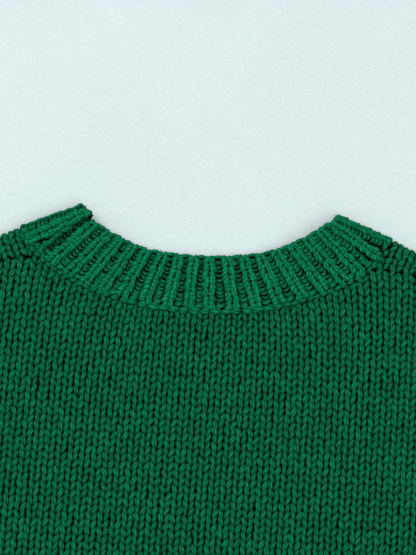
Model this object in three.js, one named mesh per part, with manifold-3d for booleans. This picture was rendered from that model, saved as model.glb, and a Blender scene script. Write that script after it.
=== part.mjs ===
// A thick knitted pullover lying flat on its front, with its back upwards: plain knit body
// and drop-shoulder sleeves, and one-by-one ribbing at the neck, hem and cuffs.
// Millimetres. X runs across the garment, Y from hem to neck, Z up from the surface it lies on.
// The origin is on the flat underside, on the centre line, halfway between hem and shoulder.
import * as THREE from "three";
import { mergeVertices } from "three/addons/utils/BufferGeometryUtils.js";
import Module from "manifold-3d";

// Cloth
const wall = 4.5;
const seamGap = 0.3;
const ribRelief = 1.8;
const ribPitch = 13.4;

// Two layers lying on each other, and the rounder loop where the cloth turns over at an edge
const restHeight = 2 * wall + seamGap;
const foldHeight = 12;
const foldMiddle = foldHeight / 2;
const foldReach = 7;
const foldFade = 50;

// Body
const hemBottom = -310;
const hemTop = -245;
const underarmY = 30;
const underarmX = 256;
const shoulderTipX = 268;
const shoulderTipY = 236;
const sideTurn = 20;
const bodySide = [
  { y: hemBottom, half: 255 },
  { y: hemTop, half: 258 },
  { y: -215, half: 267 },
  { y: -160, half: 270 },
  { y: -60, half: 268 },
  { y: underarmY, half: underarmX },
  { y: shoulderTipY, half: shoulderTipX },
];

// The shoulder: its fold is the outline, and its seam lies behind that on the back
const shoulderFold = [
  { x: 91.6, y: 306.6 },
  { x: 132, y: 289.8 },
  { x: 146, y: 283 },
  { x: 200, y: 261 },
  { x: shoulderTipX, y: shoulderTipY },
];
const shoulderSeam = [
  { x: 117, y: 270 },
  { x: 146, y: 265.3 },
  { x: 200, y: 250 },
  { x: shoulderTipX, y: 228 },
];
const shoulderSlope = THREE.MathUtils.degToRad(22);

// Half the neckband: its free edge and the seam that joins it to the body.
// The back rows run from the centre back to where the band turns over at the shoulder,
// the front rows from there to the centre front, underneath.
const neckBack = [
  { edgeX: 0, edgeY: 273.8, seamX: 0, seamY: 234.4 },
  { edgeX: 16, edgeY: 274.4, seamX: 22, seamY: 235.3 },
  { edgeX: 29, edgeY: 275.7, seamX: 41, seamY: 237.6 },
  { edgeX: 40, edgeY: 277.3, seamX: 57.5, seamY: 240.8 },
  { edgeX: 48.5, edgeY: 279.7, seamX: 70, seamY: 244.3 },
  { edgeX: 58, edgeY: 283.4, seamX: 83, seamY: 249.2 },
  { edgeX: 66, edgeY: 287.3, seamX: 95, seamY: 254.8 },
  { edgeX: 75.5, edgeY: 292.6, seamX: 107, seamY: 261.6 },
  { edgeX: 83.5, edgeY: 298, seamX: 117, seamY: 269.5 },
  { edgeX: 88.9, edgeY: 300.1, seamX: 129.3, seamY: 283.3 },
];
const neckFront = [
  { edgeX: 88.9, edgeY: 300.1, seamX: 129.3, seamY: 283.3 },
  { edgeX: 86, edgeY: 283, seamX: 126, seamY: 262 },
  { edgeX: 80, edgeY: 264, seamX: 117, seamY: 238 },
  { edgeX: 68, edgeY: 247, seamX: 100, seamY: 216 },
  { edgeX: 51, edgeY: 233.5, seamX: 76, seamY: 199 },
  { edgeX: 29, edgeY: 225.5, seamX: 45, seamY: 189 },
  { edgeX: 0, edgeY: 222.5, seamX: 0, seamY: 185 },
];
const backNeckRibs = 18;
const frontNeckSteps = 30;
const neckTurn = new THREE.Vector2(0.384, 0.923);

// Where the two ends of the neckband are sewn together, just behind the left shoulder
const bandJoin = { across: -84, proud: 4.2, raised: 1.6 };

// The front neck opening, into which the back of the neck sinks
const neckHollow = { centreY: 300, halfWidth: 88, depth: 76, start: 0.45, end: 0.83, clearance: 0.5 };

// Sleeve, right side: the two edges of the flattened tube from armhole to wrist
const sleeveSections = [
  { topX: shoulderTipX, topY: shoulderTipY, underX: underarmX, underY: underarmY },
  { topX: 322, topY: 210, underX: 300, underY: 19 },
  { topX: 372, topY: 174, underX: 345, underY: 3 },
  { topX: 425, topY: 130, underX: 388, underY: -16 },
  { topX: 478, topY: 85.5, underX: 430, underY: -39 },
  { topX: 530, topY: 42, underX: 471, underY: -65 },
  { topX: 580, topY: -3, underX: 511, underY: -94 },
];
const sleeveSteps = 18;
const cuff = { length: 60, startWidth: 102, endWidth: 98, ribs: 8, steps: 3 };

// Soft creases: each runs from its start point at an angle, highest along its middle.
const bodyCreases = [
  { x: 240, y: 40, angle: 214, length: 120, width: 17, height: 3.4 },
  { x: 246, y: 78, angle: 193, length: 90, width: 15, height: 2.4 },
  { x: -238, y: 34, angle: -28, length: 135, width: 18, height: 3.1 },
  { x: -244, y: 84, angle: -9, length: 76, width: 15, height: 2.7 },
  { x: 190, y: -150, angle: 176, length: 150, width: 24, height: 2.2 },
  { x: -205, y: -118, angle: -7, length: 118, width: 22, height: 2.6 },
];
// On a sleeve, along runs from armhole 0 to wrist 1, and reach from the underarm edge across.
const sleeveCreases = [
  { along: 0.13, lean: 0.1, reach: 118, width: 13, height: 4.2 },
  { along: 0.24, lean: 0.04, reach: 96, width: 12, height: 3.6 },
  { along: 0.36, lean: -0.03, reach: 82, width: 13, height: 3.2 },
  { along: 0.68, lean: -0.08, reach: 70, width: 15, height: 2.4 },
];

const knitGreen = new THREE.MeshStandardMaterial({ color: 0x05754a, roughness: 0.95 });
const ribGreen = new THREE.MeshStandardMaterial({ color: 0x067d50, roughness: 0.95 });

const { lerp, smoothstep, clamp, degToRad } = THREE.MathUtils;

// A value read from a table of named columns, straight between its rows.
function read(table, key, at, column) {
  const above = table.findIndex((row) => row[key] >= at);
  if (above === 0) return table[0][column];
  if (above < 0) return table[table.length - 1][column];
  const low = table[above - 1];
  const high = table[above];
  return lerp(low[column], high[column], (at - low[key]) / (high[key] - low[key]));
}

const bodyHalf = (y) => read(bodySide, "y", y, "half");
const foldLine = (x) => read(shoulderFold, "x", Math.abs(x), "y");
const seamLine = (x) => read(shoulderSeam, "x", Math.abs(x), "y");

// How far the cloth is lifted by the turn of a nearby fold: all of it at the fold, none inside.
const foldLift = (distance) =>
  (foldHeight - restHeight) * (1 - smoothstep(distance, foldReach, foldFade));

function sideDistance(x, y) {
  return Math.hypot(bodyHalf(y) - Math.abs(x), Math.max(0, y - underarmY + sideTurn));
}

function shoulderDistance(x, y) {
  const corner = shoulderFold[0].x;
  const beyond = Math.max(corner - Math.abs(x), 0);
  return Math.hypot(beyond, (foldLine(x) - y) * Math.cos(shoulderSlope));
}

// How far the back has sunk into the front neck opening, from 0 to 1.
function neckSink(x, y) {
  const { centreY, halfWidth, depth, start, end } = neckHollow;
  return 1 - smoothstep(Math.hypot(x / halfWidth, (y - centreY) / depth), start, end);
}

function creaseHeight(x, y) {
  let height = 0;
  for (const crease of bodyCreases) {
    const angle = degToRad(crease.angle);
    const dx = x - crease.x;
    const dy = y - crease.y;
    const along = (dx * Math.cos(angle) + dy * Math.sin(angle)) / crease.length;
    const off = (dy * Math.cos(angle) - dx * Math.sin(angle)) / crease.width;
    const ends = smoothstep(along, -0.1, 0.25) * (1 - smoothstep(along, 0.45, 1));
    height += crease.height * ends * Math.exp(-off * off);
  }
  return height;
}

// Height of the body's upper surface.
function bodyTop(x, y) {
  const lift = foldLift(Math.min(sideDistance(x, y), shoulderDistance(x, y)));
  const sunk = (wall + seamGap - neckHollow.clearance) * neckSink(x, y);
  return restHeight + lift - sunk + creaseHeight(x, y);
}

// A closed solid from points and four-sided faces. Mirrored pieces have their faces turned over.
function closedSolid(points, quads) {
  const corners = quads.flatMap(([a, b, c, d]) => [a, b, c, a, c, d]);
  let volume = 0;
  for (let i = 0; i < corners.length; i += 3) {
    const [a, b, c] = corners.slice(i, i + 3).map((k) => points[k]);
    volume += a.dot(new THREE.Vector3().crossVectors(b, c));
  }
  if (volume < 0) corners.reverse();
  const geometry = new THREE.BufferGeometry().setFromPoints(points);
  geometry.setIndex(corners);
  return geometry;
}

// A wall between an outer and an inner grid of points, closed at its borders.
// A closed grid joins its last column to its first, as round a sleeve.
function clothWall(outer, inner, closed = false) {
  const rows = outer.length;
  const columns = outer[0].length;
  const last = rows - 1;
  const out = (i, j) => i * columns + (j % columns);
  const inn = (i, j) => rows * columns + out(i, j);
  const spans = closed ? columns : columns - 1;
  const quads = [];
  for (let i = 0; i < last; i++)
    for (let j = 0; j < spans; j++) {
      quads.push([out(i, j), out(i, j + 1), out(i + 1, j + 1), out(i + 1, j)]);
      quads.push([inn(i, j), inn(i + 1, j), inn(i + 1, j + 1), inn(i, j + 1)]);
    }
  for (let j = 0; j < spans; j++) {
    quads.push([out(0, j + 1), out(0, j), inn(0, j), inn(0, j + 1)]);
    quads.push([out(last, j), out(last, j + 1), inn(last, j + 1), inn(last, j)]);
  }
  if (!closed)
    for (let i = 0; i < last; i++) {
      quads.push([out(i, 0), out(i + 1, 0), inn(i + 1, 0), inn(i, 0)]);
      quads.push([out(i + 1, spans), out(i, spans), inn(i, spans), inn(i + 1, spans)]);
    }
  return closedSolid([...outer.flat(), ...inner.flat()], quads);
}

// A solid from closed sections that run round a loop and meet themselves again.
function closedLoop(sections) {
  const around = sections.length;
  const count = sections[0].length;
  const at = (i, j) => (i % around) * count + (j % count);
  const quads = [];
  for (let i = 0; i < around; i++)
    for (let j = 0; j < count; j++)
      quads.push([at(i, j), at(i, j + 1), at(i + 1, j + 1), at(i + 1, j)]);
  return closedSolid(sections.flat(), quads);
}

const steps = (count) => Array.from({ length: count + 1 }, (_, i) => i / count);

// Columns across a body piece: the turned edge on each side, and the flat cloth between.
const foldAngles = [0, 30, 60].map(degToRad);
function columnsAcross(count) {
  const flat = steps(count).map((share) => ({ share: 2 * share - 1, angle: Math.PI / 2 }));
  const turned = (side) => foldAngles.map((angle) => ({ share: side, angle }));
  return [...turned(-1), ...flat, ...turned(1).reverse()];
}

// How much a body piece turns over at its side: fully below the underarm, not at the armhole.
const sideFold = (y) => 1 - smoothstep(y, underarmY - sideTurn, underarmY);

// A point of the back at depth under its outer surface; relief raises the outer surface.
function backPoint({ share, angle }, y, depth, relief = 0) {
  const flatHalf = bodyHalf(y) - foldReach;
  if (angle === Math.PI / 2) {
    const x = share * flatHalf;
    return new THREE.Vector3(x, y, bodyTop(x, y) - depth + relief);
  }
  const flatX = share * (flatHalf + foldReach * (1 - (2 * angle) / Math.PI));
  const flat = new THREE.Vector3(flatX, y, bodyTop(flatX, y) - depth);
  const rise = bodyTop(share * flatHalf, y) - foldMiddle - depth;
  const turned = new THREE.Vector3(
    share * (flatHalf + (foldReach - depth) * Math.cos(angle)),
    y,
    foldMiddle + (seamGap / 2) * Math.cos(angle) + rise * Math.sin(angle),
  );
  return flat.lerp(turned, sideFold(y));
}

// The same for the front, which lies underneath with its outer surface down.
function frontPoint({ share, angle }, y, depth) {
  const flatHalf = bodyHalf(y) - foldReach;
  if (angle === Math.PI / 2) return new THREE.Vector3(share * flatHalf, y, depth);
  const flatX = share * (flatHalf + foldReach * (1 - (2 * angle) / Math.PI));
  const turned = new THREE.Vector3(
    share * (flatHalf + (foldReach - depth) * Math.cos(angle)),
    y,
    foldMiddle - (seamGap / 2) * Math.cos(angle) - (foldMiddle - depth) * Math.sin(angle),
  );
  return new THREE.Vector3(flatX, y, depth).lerp(turned, sideFold(y));
}

// Where a column of the body meets the shoulder seam.
function seamAt({ share, angle }) {
  const across = (half) => share * (half - (2 * foldReach * angle) / Math.PI);
  const y = seamLine(across(shoulderTipX));
  return seamLine(across(bodyHalf(y)));
}

const armholeGap = (point) => {
  const inside = bodyHalf(point.y) - seamGap;
  point.x = clamp(point.x, -inside, inside);
  return point;
};

// The neckband's plan, as an edge curve and a seam curve that are read at the same place.
const flip = (row) => ({ ...row, edgeX: -row.edgeX, seamX: -row.seamX });
const backRows = [...neckBack.slice(1).reverse().map(flip), ...neckBack];
const frontRows = [...neckFront, ...neckFront.slice(0, -1).reverse().map(flip)];
const plan = (rows, x, y) =>
  new THREE.CatmullRomCurve3(rows.map((row) => new THREE.Vector3(row[x], row[y], 0)));

function bandPlan(rows) {
  const edge = plan(rows, "edgeX", "edgeY");
  const seam = plan(rows, "seamX", "seamY");
  const middle = new THREE.CatmullRomCurve3(
    edge.points.map((point, i) => point.clone().lerp(seam.points[i], 0.5)),
  );
  return (share) => {
    const at = middle.getUtoTmapping(share);
    return { edge: edge.getPoint(at), seam: seam.getPoint(at) };
  };
}
const backBand = bandPlan(backRows);
const frontBand = bandPlan(frontRows);

// A place on the band's section: how far from seam to edge, and how high in the cloth.
const bandSection = [
  { share: 0, height: wall, relief: 0 },
  { share: 0.08, height: wall, relief: 1 },
  { share: 0.5, height: wall, relief: 1 },
  { share: 0.93, height: wall, relief: 1 },
  { share: 1, height: wall * 0.6, relief: 0.4 },
  { share: 1, height: wall * 0.4, relief: 0 },
  { share: 0.94, height: 0, relief: 0 },
  { share: 0, height: 0, relief: 0 },
];

// One section of the neckband. turn is 90 degrees on the back, 0 at the fold, -90 underneath.
function neckbandSection({ edge, seam }, turn, relief) {
  const side = Math.sign(seam.x) || 1;
  const beyondJoin = seam.x < 0 && edge.x < bandJoin.across && turn > -Math.PI / 2;
  const long = beyondJoin ? bandJoin.proud : 0;
  const lift = beyondJoin ? bandJoin.raised * smoothstep(turn, -1, 1) : 0;
  const width = seam.distanceTo(edge);
  return bandSection.map((place) => {
    const share = place.share * (1 + long / width);
    const at = seam.clone().lerp(edge, share);
    const depth = wall - place.height - (relief * ribRelief + lift) * place.relief;
    const top = bodyTop(at.x, at.y);
    if (turn >= Math.PI / 2) return at.setZ(top - depth);
    if (turn <= -Math.PI / 2) return at.setZ(wall - place.height);
    const out = (foldReach - depth) * Math.cos(turn);
    const rise = turn > 0 ? top - foldMiddle : foldMiddle;
    return new THREE.Vector3(
      at.x + side * neckTurn.x * out,
      at.y + neckTurn.y * out,
      foldMiddle + (rise - depth) * Math.sin(turn),
    );
  });
}

const turnAngles = [60, 30, 0, -30, -60].map(degToRad);

// Each rib is a valley column and two columns along its crest.
const reliefPattern = [0, 1, 1];
const patternAt = (column) => reliefPattern[column % reliefPattern.length];

function neckbandStations() {
  const columns = backNeckRibs * reliefPattern.length;
  const back = steps(columns).map((share, i) => ({
    at: backBand(share),
    turn: Math.PI / 2,
    relief: patternAt(i),
  }));
  const front = steps(frontNeckSteps).map((share) => ({
    at: frontBand(share),
    turn: -Math.PI / 2,
    relief: 0,
  }));
  const overFold = (share, angles) =>
    angles.map((turn) => ({ at: backBand(share), turn, relief: 0.5 }));
  return [
    ...back,
    ...overFold(1, turnAngles),
    ...front,
    ...overFold(0, [...turnAngles].reverse()),
  ];
}

function neckband() {
  const stations = neckbandStations();
  return closedLoop(stations.map(({ at, turn, relief }) => neckbandSection(at, turn, relief)));
}

// A solid as three.js geometry, and the other way, for cutting the neck out of the body.
const wasm = await Module();
wasm.setup();

function solidFrom(geometry) {
  const bare = geometry.clone();
  bare.deleteAttribute("normal");
  bare.deleteAttribute("uv");
  const merged = mergeVertices(bare, 1e-4);
  return new wasm.Manifold(
    new wasm.Mesh({
      numProp: 3,
      vertProperties: merged.attributes.position.array,
      triVerts: new Uint32Array(merged.index.array),
    }),
  );
}

function geometryFrom(solid) {
  const mesh = solid.getMesh();
  const geometry = new THREE.BufferGeometry();
  geometry.setAttribute("position", new THREE.BufferAttribute(mesh.vertProperties, 3));
  geometry.setIndex(new THREE.BufferAttribute(mesh.triVerts, 1));
  return geometry;
}

// What the neck opening takes out of the body between two heights, a seam's gap clear of the band.
function neckCutter(band, count, from, to) {
  const outline = steps(count).map((share) => {
    const { edge, seam } = band(share);
    const away = seam.clone().sub(edge).setLength(seamGap);
    return new THREE.Vector2(seam.x, seam.y).add(away);
  });
  if (outline[0].x > outline[count].x) outline.reverse();
  const past = 60;
  const left = outline[0].clone().add(new THREE.Vector2(-neckTurn.x * past, neckTurn.y * past));
  const right = outline[count].clone().addScaledVector(neckTurn, past);
  const shape = new THREE.Shape([left, ...outline, right]);
  const cutter = new THREE.ExtrudeGeometry(shape, { depth: to - from, bevelEnabled: false });
  return solidFrom(cutter.translate(0, 0, from));
}
const below = -10;
const above = 40;
const backSteps = backNeckRibs * reliefPattern.length;

// Rows of the body up to the underarms, with the last two where its sides stop turning over.
const bodyColumns = columnsAcross(36);
const lowerRows = (count) => [
  ...steps(count).map((share) => lerp(hemTop + seamGap, underarmY - sideTurn, share)),
  underarmY - sideTurn / 2,
  underarmY,
];

// The back lies on top, from the hem ribbing to the shoulder seams.
function backPanel() {
  const wallAt = (depth) => {
    const row = (yAt) =>
      bodyColumns.map((column) => armholeGap(backPoint(column, yAt(column), depth)));
    const lower = lowerRows(7).map((y) => row(() => y));
    const upper = steps(8)
      .slice(1)
      .map((share) => row((column) => lerp(underarmY, seamAt(column) - seamGap, share)));
    return [...lower, ...upper];
  };
  const sheet = solidFrom(clothWall(wallAt(0), wallAt(wall)));
  return geometryFrom(sheet.subtract(neckCutter(backBand, backSteps, below, above)));
}

// The front lies underneath, turns over at the shoulders and ends at the seams on the back.
function frontPanel() {
  const turns = [-90, -60, -30, 0, 30, 60, 90].map(degToRad);
  const topOf = (x, y) => restHeight + foldLift(shoulderDistance(x, y));
  const wallAt = (depth) => {
    const lower = lowerRows(4).map((y) =>
      bodyColumns.map((column) => armholeGap(frontPoint(column, y, depth))),
    );
    const upper = steps(4)
      .slice(1, -1)
      .map((share) =>
        bodyColumns.map((column) => {
          const { x } = frontPoint(column, shoulderTipY, depth);
          const y = lerp(underarmY, foldLine(x) - foldReach, share);
          return armholeGap(frontPoint(column, y, depth));
        }),
      );
    const over = turns.map((turn) =>
      bodyColumns.map((column) => {
        const point = frontPoint(column, shoulderTipY, depth);
        const start = foldLine(point.x) - foldReach;
        const rise = turn > 0 ? topOf(point.x, start) - foldMiddle : foldMiddle;
        point.y = start + (foldReach - depth) * Math.cos(turn);
        point.z = foldMiddle + (rise - depth) * Math.sin(turn);
        return armholeGap(point);
      }),
    );
    const flap = steps(2)
      .slice(1)
      .map((share) =>
        bodyColumns.map((column) => {
          const point = frontPoint(column, shoulderTipY, depth);
          point.y = lerp(foldLine(point.x) - foldReach, seamAt(column), share);
          point.z = topOf(point.x, point.y) - depth;
          return armholeGap(point);
        }),
      );
    return [...lower, ...upper, ...over, ...flap];
  };
  const sheet = solidFrom(clothWall(wallAt(0), wallAt(wall)));
  const cut = sheet
    .subtract(neckCutter(backBand, backSteps, foldMiddle, above))
    .subtract(neckCutter(frontBand, frontNeckSteps, below, foldMiddle));
  return geometryFrom(cut);
}

// Hem ribbing: raised ribs on the back, which shows; the front's underside rests flat.
const ribsAcross = Math.round((2 * (read(bodySide, "y", hemTop, "half") - foldReach)) / ribPitch);
const ribColumns = ribsAcross * reliefPattern.length;
const hemRows = [
  { y: hemTop, relief: 0.3 },
  { y: hemTop - 4, relief: 1 },
  { y: hemBottom + 3, relief: 1 },
  { y: hemBottom, relief: 0 },
];

function backHemRib() {
  const columns = columnsAcross(ribColumns);
  const first = foldAngles.length;
  const wallAt = (depth) =>
    hemRows.map(({ y, relief }) =>
      columns.map((column, j) => {
        const raised = depth === 0 && column.angle === Math.PI / 2;
        const height = raised ? relief * patternAt(j - first) : 0;
        return backPoint(column, y, depth, ribRelief * height);
      }),
    );
  return clothWall(wallAt(0), wallAt(wall));
}

function frontHemRib() {
  const columns = columnsAcross(20);
  const rows = [hemTop, (hemTop + hemBottom) / 2, hemBottom];
  const wallAt = (depth) => rows.map((y) => columns.map((column) => frontPoint(column, y, depth)));
  return clothWall(wallAt(0), wallAt(wall));
}

// Points round a flattened tube: how far from its lower edge, and how high.
// topAt gives the upper surface, and shares say where its points lie across.
function tubeRing(width, shares, topAt, depth) {
  const flat = width - 2 * foldReach;
  const half = [-90, -60, -30, 0, 30, 60, 90].map(degToRad);
  const turned = (angle, across) => {
    const rise = angle > 0 ? topAt(across) - foldMiddle : foldMiddle;
    return foldMiddle + (rise - depth) * Math.sin(angle);
  };
  const farEdge = half.map((angle) => ({
    across: foldReach + flat + (foldReach - depth) * Math.cos(angle),
    z: turned(angle, foldReach + flat),
  }));
  const nearEdge = half.map((angle) => ({
    across: foldReach - (foldReach - depth) * Math.cos(angle),
    z: turned(angle, foldReach),
  }));
  const upper = shares.map((share, i) => ({
    across: foldReach + flat * share,
    z: topAt(foldReach + flat * share, i) - depth,
  }));
  const lower = [0.25, 0.5, 0.75].map((share) => ({ across: foldReach + flat * share, z: depth }));
  return [...farEdge, ...upper.reverse(), ...nearEdge.reverse(), ...lower];
}

const sleeveTop = new THREE.CatmullRomCurve3(
  sleeveSections.map((row) => new THREE.Vector3(row.topX, row.topY, 0)),
);
const sleeveUnder = new THREE.CatmullRomCurve3(
  sleeveSections.map((row) => new THREE.Vector3(row.underX, row.underY, 0)),
);

function placed(ring, under, top) {
  const across = top.clone().sub(under).normalize();
  return ring.map((at) => under.clone().addScaledVector(across, at.across).setZ(at.z));
}

const sleeveLength = sleeveUnder.getLength();

function sleeveCreaseHeight(share, across) {
  let height = 0;
  for (const crease of sleeveCreases) {
    const off = (share - crease.along) * sleeveLength - crease.lean * across;
    const start = smoothstep(across, foldReach, 3 * foldReach);
    const end = 1 - smoothstep(across / crease.reach, 0.5, 1);
    height += crease.height * start * end * Math.exp(-((off / crease.width) ** 2));
  }
  return height;
}

function sleeve() {
  const shares = steps(9).slice(1, -1);
  const wallAt = (depth) =>
    steps(sleeveSteps).map((share) => {
      const top = sleeveTop.getPoint(share);
      const under = sleeveUnder.getPoint(share);
      const width = top.distanceTo(under);
      const topAt = (across) =>
        restHeight + foldLift(Math.min(across, width - across)) + sleeveCreaseHeight(share, across);
      return placed(tubeRing(width, shares, topAt, depth), under, top);
    });
  return clothWall(wallAt(0), wallAt(wall), true);
}

function cuffRib() {
  const end = sleeveSections[sleeveSections.length - 1];
  const top = new THREE.Vector3(end.topX, end.topY, 0);
  const under = new THREE.Vector3(end.underX, end.underY, 0);
  const centre = top.clone().lerp(under, 0.5);
  const across = top.clone().sub(under).normalize();
  const along = new THREE.Vector3(across.y, -across.x, 0);
  const columns = cuff.ribs * reliefPattern.length;
  const shares = steps(columns).slice(1, -1);
  const wallAt = (depth) =>
    steps(cuff.steps).map((share) => {
      const width = lerp(cuff.startWidth, cuff.endWidth, share);
      const atEnd = share === 0 || share === 1;
      const raised = ribRelief * (depth > 0 ? 0 : atEnd ? 0.3 : 1);
      const topAt = (q, i) => {
        const plain = restHeight + foldLift(Math.min(q, width - q));
        return i === undefined ? plain : plain + raised * patternAt(i + 1);
      };
      const middle = centre.clone().addScaledVector(along, seamGap + share * cuff.length);
      const near = middle.clone().addScaledVector(across, -width / 2);
      const far = middle.clone().addScaledVector(across, width / 2);
      return placed(tubeRing(width, shares, topAt, depth), near, far);
    });
  return clothWall(wallAt(0), wallAt(wall), true);
}

function leftHand(geometry) {
  const points = geometry.attributes.position;
  const mirroredPoints = Array.from({ length: points.count }, (_, i) =>
    new THREE.Vector3(-points.getX(i), points.getY(i), points.getZ(i)),
  );
  const mirror = new THREE.BufferGeometry().setFromPoints(mirroredPoints);
  mirror.setIndex([...geometry.index.array].reverse());
  return mirror;
}

const pullover = new THREE.Group();
function add(name, geometry, material) {
  const mesh = new THREE.Mesh(geometry, material);
  mesh.name = name;
  pullover.add(mesh);
}

const rightSleeve = sleeve();
const rightCuff = cuffRib();
add("back_panel", backPanel(), knitGreen);
add("front_panel", frontPanel(), knitGreen);
add("sleeve_right", rightSleeve, knitGreen);
add("sleeve_left", leftHand(rightSleeve), knitGreen);
add("neckband", neckband(), ribGreen);
add("hem_rib_back", backHemRib(), ribGreen);
add("hem_rib_front", frontHemRib(), ribGreen);
add("cuff_right", rightCuff, ribGreen);
add("cuff_left", leftHand(rightCuff), ribGreen);

export default pullover;
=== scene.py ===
"""A thick knitted pullover lying flat on its front, with the strands of its visible stitches."""

import math

import bpy
import numpy as np
from mathutils import Matrix, Vector


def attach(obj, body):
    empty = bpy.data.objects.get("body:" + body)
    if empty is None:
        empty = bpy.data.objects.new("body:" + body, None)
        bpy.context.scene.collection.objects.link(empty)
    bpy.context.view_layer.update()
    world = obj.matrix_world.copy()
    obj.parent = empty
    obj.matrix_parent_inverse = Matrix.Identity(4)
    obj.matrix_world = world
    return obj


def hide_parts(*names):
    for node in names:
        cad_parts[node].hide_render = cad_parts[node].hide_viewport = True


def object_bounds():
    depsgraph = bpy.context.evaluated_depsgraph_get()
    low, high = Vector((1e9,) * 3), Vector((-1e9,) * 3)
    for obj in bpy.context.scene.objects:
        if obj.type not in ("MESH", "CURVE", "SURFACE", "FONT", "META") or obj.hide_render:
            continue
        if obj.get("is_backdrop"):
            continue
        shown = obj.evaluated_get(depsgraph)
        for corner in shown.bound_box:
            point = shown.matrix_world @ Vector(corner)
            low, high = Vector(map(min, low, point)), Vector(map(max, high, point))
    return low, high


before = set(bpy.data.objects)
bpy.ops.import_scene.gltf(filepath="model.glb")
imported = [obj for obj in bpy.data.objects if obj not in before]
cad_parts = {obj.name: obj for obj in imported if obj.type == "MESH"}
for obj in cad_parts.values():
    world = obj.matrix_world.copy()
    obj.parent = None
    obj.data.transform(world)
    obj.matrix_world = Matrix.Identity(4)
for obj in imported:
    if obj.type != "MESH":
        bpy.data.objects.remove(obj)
CAD_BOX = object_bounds()

bl_info = {
    "name": "Knitted pullover",
    "version": (1, 0, 0),
    "blender": (4, 5, 0),
    "location": "3D View > Sidebar > Pullover",
    "description": "Builds a thick knitted pullover laid flat, strand by strand",
    "category": "Object",
}

# Sizes are in millimetres here, and become metres where a mesh is made.
MM = 0.001


def table(names, *rows):
    """A short table of sizes, kept as one array for each named column."""
    return {name: np.array(column, float) for name, column in zip(names, zip(*rows))}


# The cloth and its folds
WALL = 4.5
SEAM_GAP = 0.3
REST_HEIGHT = 9.3
FOLD_HEIGHT = 12.0
FOLD_MIDDLE = FOLD_HEIGHT / 2
FOLD_REACH = 7.0
FOLD_FADE = 50.0
FOLD_ARC = 10.2
LOOPS_DEPTH = 2.7
# Where strands laid round a fold stop short of its underside, as a length and as a height
TURN_END = 1.88 * FOLD_ARC
LEAST_HEIGHT = 1.7

# The body
HEM_BOTTOM = -310.0
HEM_TOP = -245.0
WIDEST_Y = -160.0
UNDERARM_Y = 30.0
ARMHOLE_TOP = 236.0
SIDE_TURN = 20.0
SHOULDER_TIP_X = 268.0
BODY_SIDE = table(
    ("y", "half"),
    (HEM_BOTTOM, 255),
    (HEM_TOP, 258),
    (-215, 267),
    (WIDEST_Y, 270),
    (-60, 268),
    (UNDERARM_Y, 256),
    (ARMHOLE_TOP, SHOULDER_TIP_X),
)
SHOULDER_FOLD = table(
    ("x", "y"), (91.6, 306.6), (132, 289.8), (146, 283), (200, 261), (SHOULDER_TIP_X, ARMHOLE_TOP)
)
SHOULDER_SEAM = table(("x", "y"), (117, 270), (146, 265.3), (200, 250), (SHOULDER_TIP_X, 228))
SHOULDER_SLOPE = math.radians(22)
# Where the front's underside ends, as its finish measures it
SHOULDER_START = 283.0

# How many places the cloths have across, and up to their tops
BODY_COLUMNS = 97
BACK_ROWS = 81
FRONT_ROWS = 41
TUBE_COLUMNS = 73

# Half the neckband on the back, from the centre back to the shoulder fold, and then underneath
NECK_BACK = table(
    ("edge_x", "edge_y", "seam_x", "seam_y"),
    (0, 273.8, 0, 234.4),
    (16, 274.4, 22, 235.3),
    (29, 275.7, 41, 237.6),
    (40, 277.3, 57.5, 240.8),
    (48.5, 279.7, 70, 244.3),
    (58, 283.4, 83, 249.2),
    (66, 287.3, 95, 254.8),
    (75.5, 292.6, 107, 261.6),
    (83.5, 298, 117, 269.5),
    (88.9, 300.1, 129.3, 283.3),
)
NECK_FRONT = table(
    ("edge_x", "edge_y", "seam_x", "seam_y"),
    (88.9, 300.1, 129.3, 283.3),
    (86, 283, 126, 262),
    (80, 264, 117, 238),
    (68, 247, 100, 216),
    (51, 233.5, 76, 199),
    (29, 225.5, 45, 189),
    (0, 222.5, 0, 185),
)
# The neckband's side, which the front's shoulder stitches come up to
NECK_SIDE = table(("y", "x"), (269.5, 117), (283.3, 129.3), (289.8, 132))
NECK_TURN = np.array((0.384, 0.923))
NECK_HOLLOW = {"y": 300, "half_width": 88, "depth": 76, "start": 0.45, "end": 0.83, "sink": 4.3}

# Where the neckband's ends are joined, measured along it from the left shoulder
BAND_JOIN = {"at": 14.0, "proud": 4.2, "raised": 1.6}

# Ribs along the back of the neckband, from the left shoulder to the right, as they lie
RIB_CENTRES = np.array((
    -21.6, -8.6, 3.5, 19.6, 33.6, 44.8, 56.7, 68.6, 82.6, 96.6, 109.2, 121.8,
    136.5, 150.5, 164.5, 178.5, 192.5, 205.8, 217.7, 231.0, 243.2, 255.6,
))
GUTTERS = (RIB_CENTRES[1:] + RIB_CENTRES[:-1]) / 2
GUTTER_GAPS = np.diff(RIB_CENTRES)

# The right sleeve's two edges, from armhole to wrist
SLEEVE = table(
    ("top_x", "top_y", "under_x", "under_y"),
    (SHOULDER_TIP_X, ARMHOLE_TOP, 256, UNDERARM_Y),
    (322, 210, 300, 19),
    (372, 174, 345, 3),
    (425, 130, 388, -16),
    (478, 85.5, 430, -39),
    (530, 42, 471, -65),
    (580, -3, 511, -94),
)
CUFF_LENGTH = 60.0
CUFF_WIDTH = (102.0, 98.0)
CUFF_RIBS = 8
RIB_PITCH = 13.4
LINK_PITCH = 7.4

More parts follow.
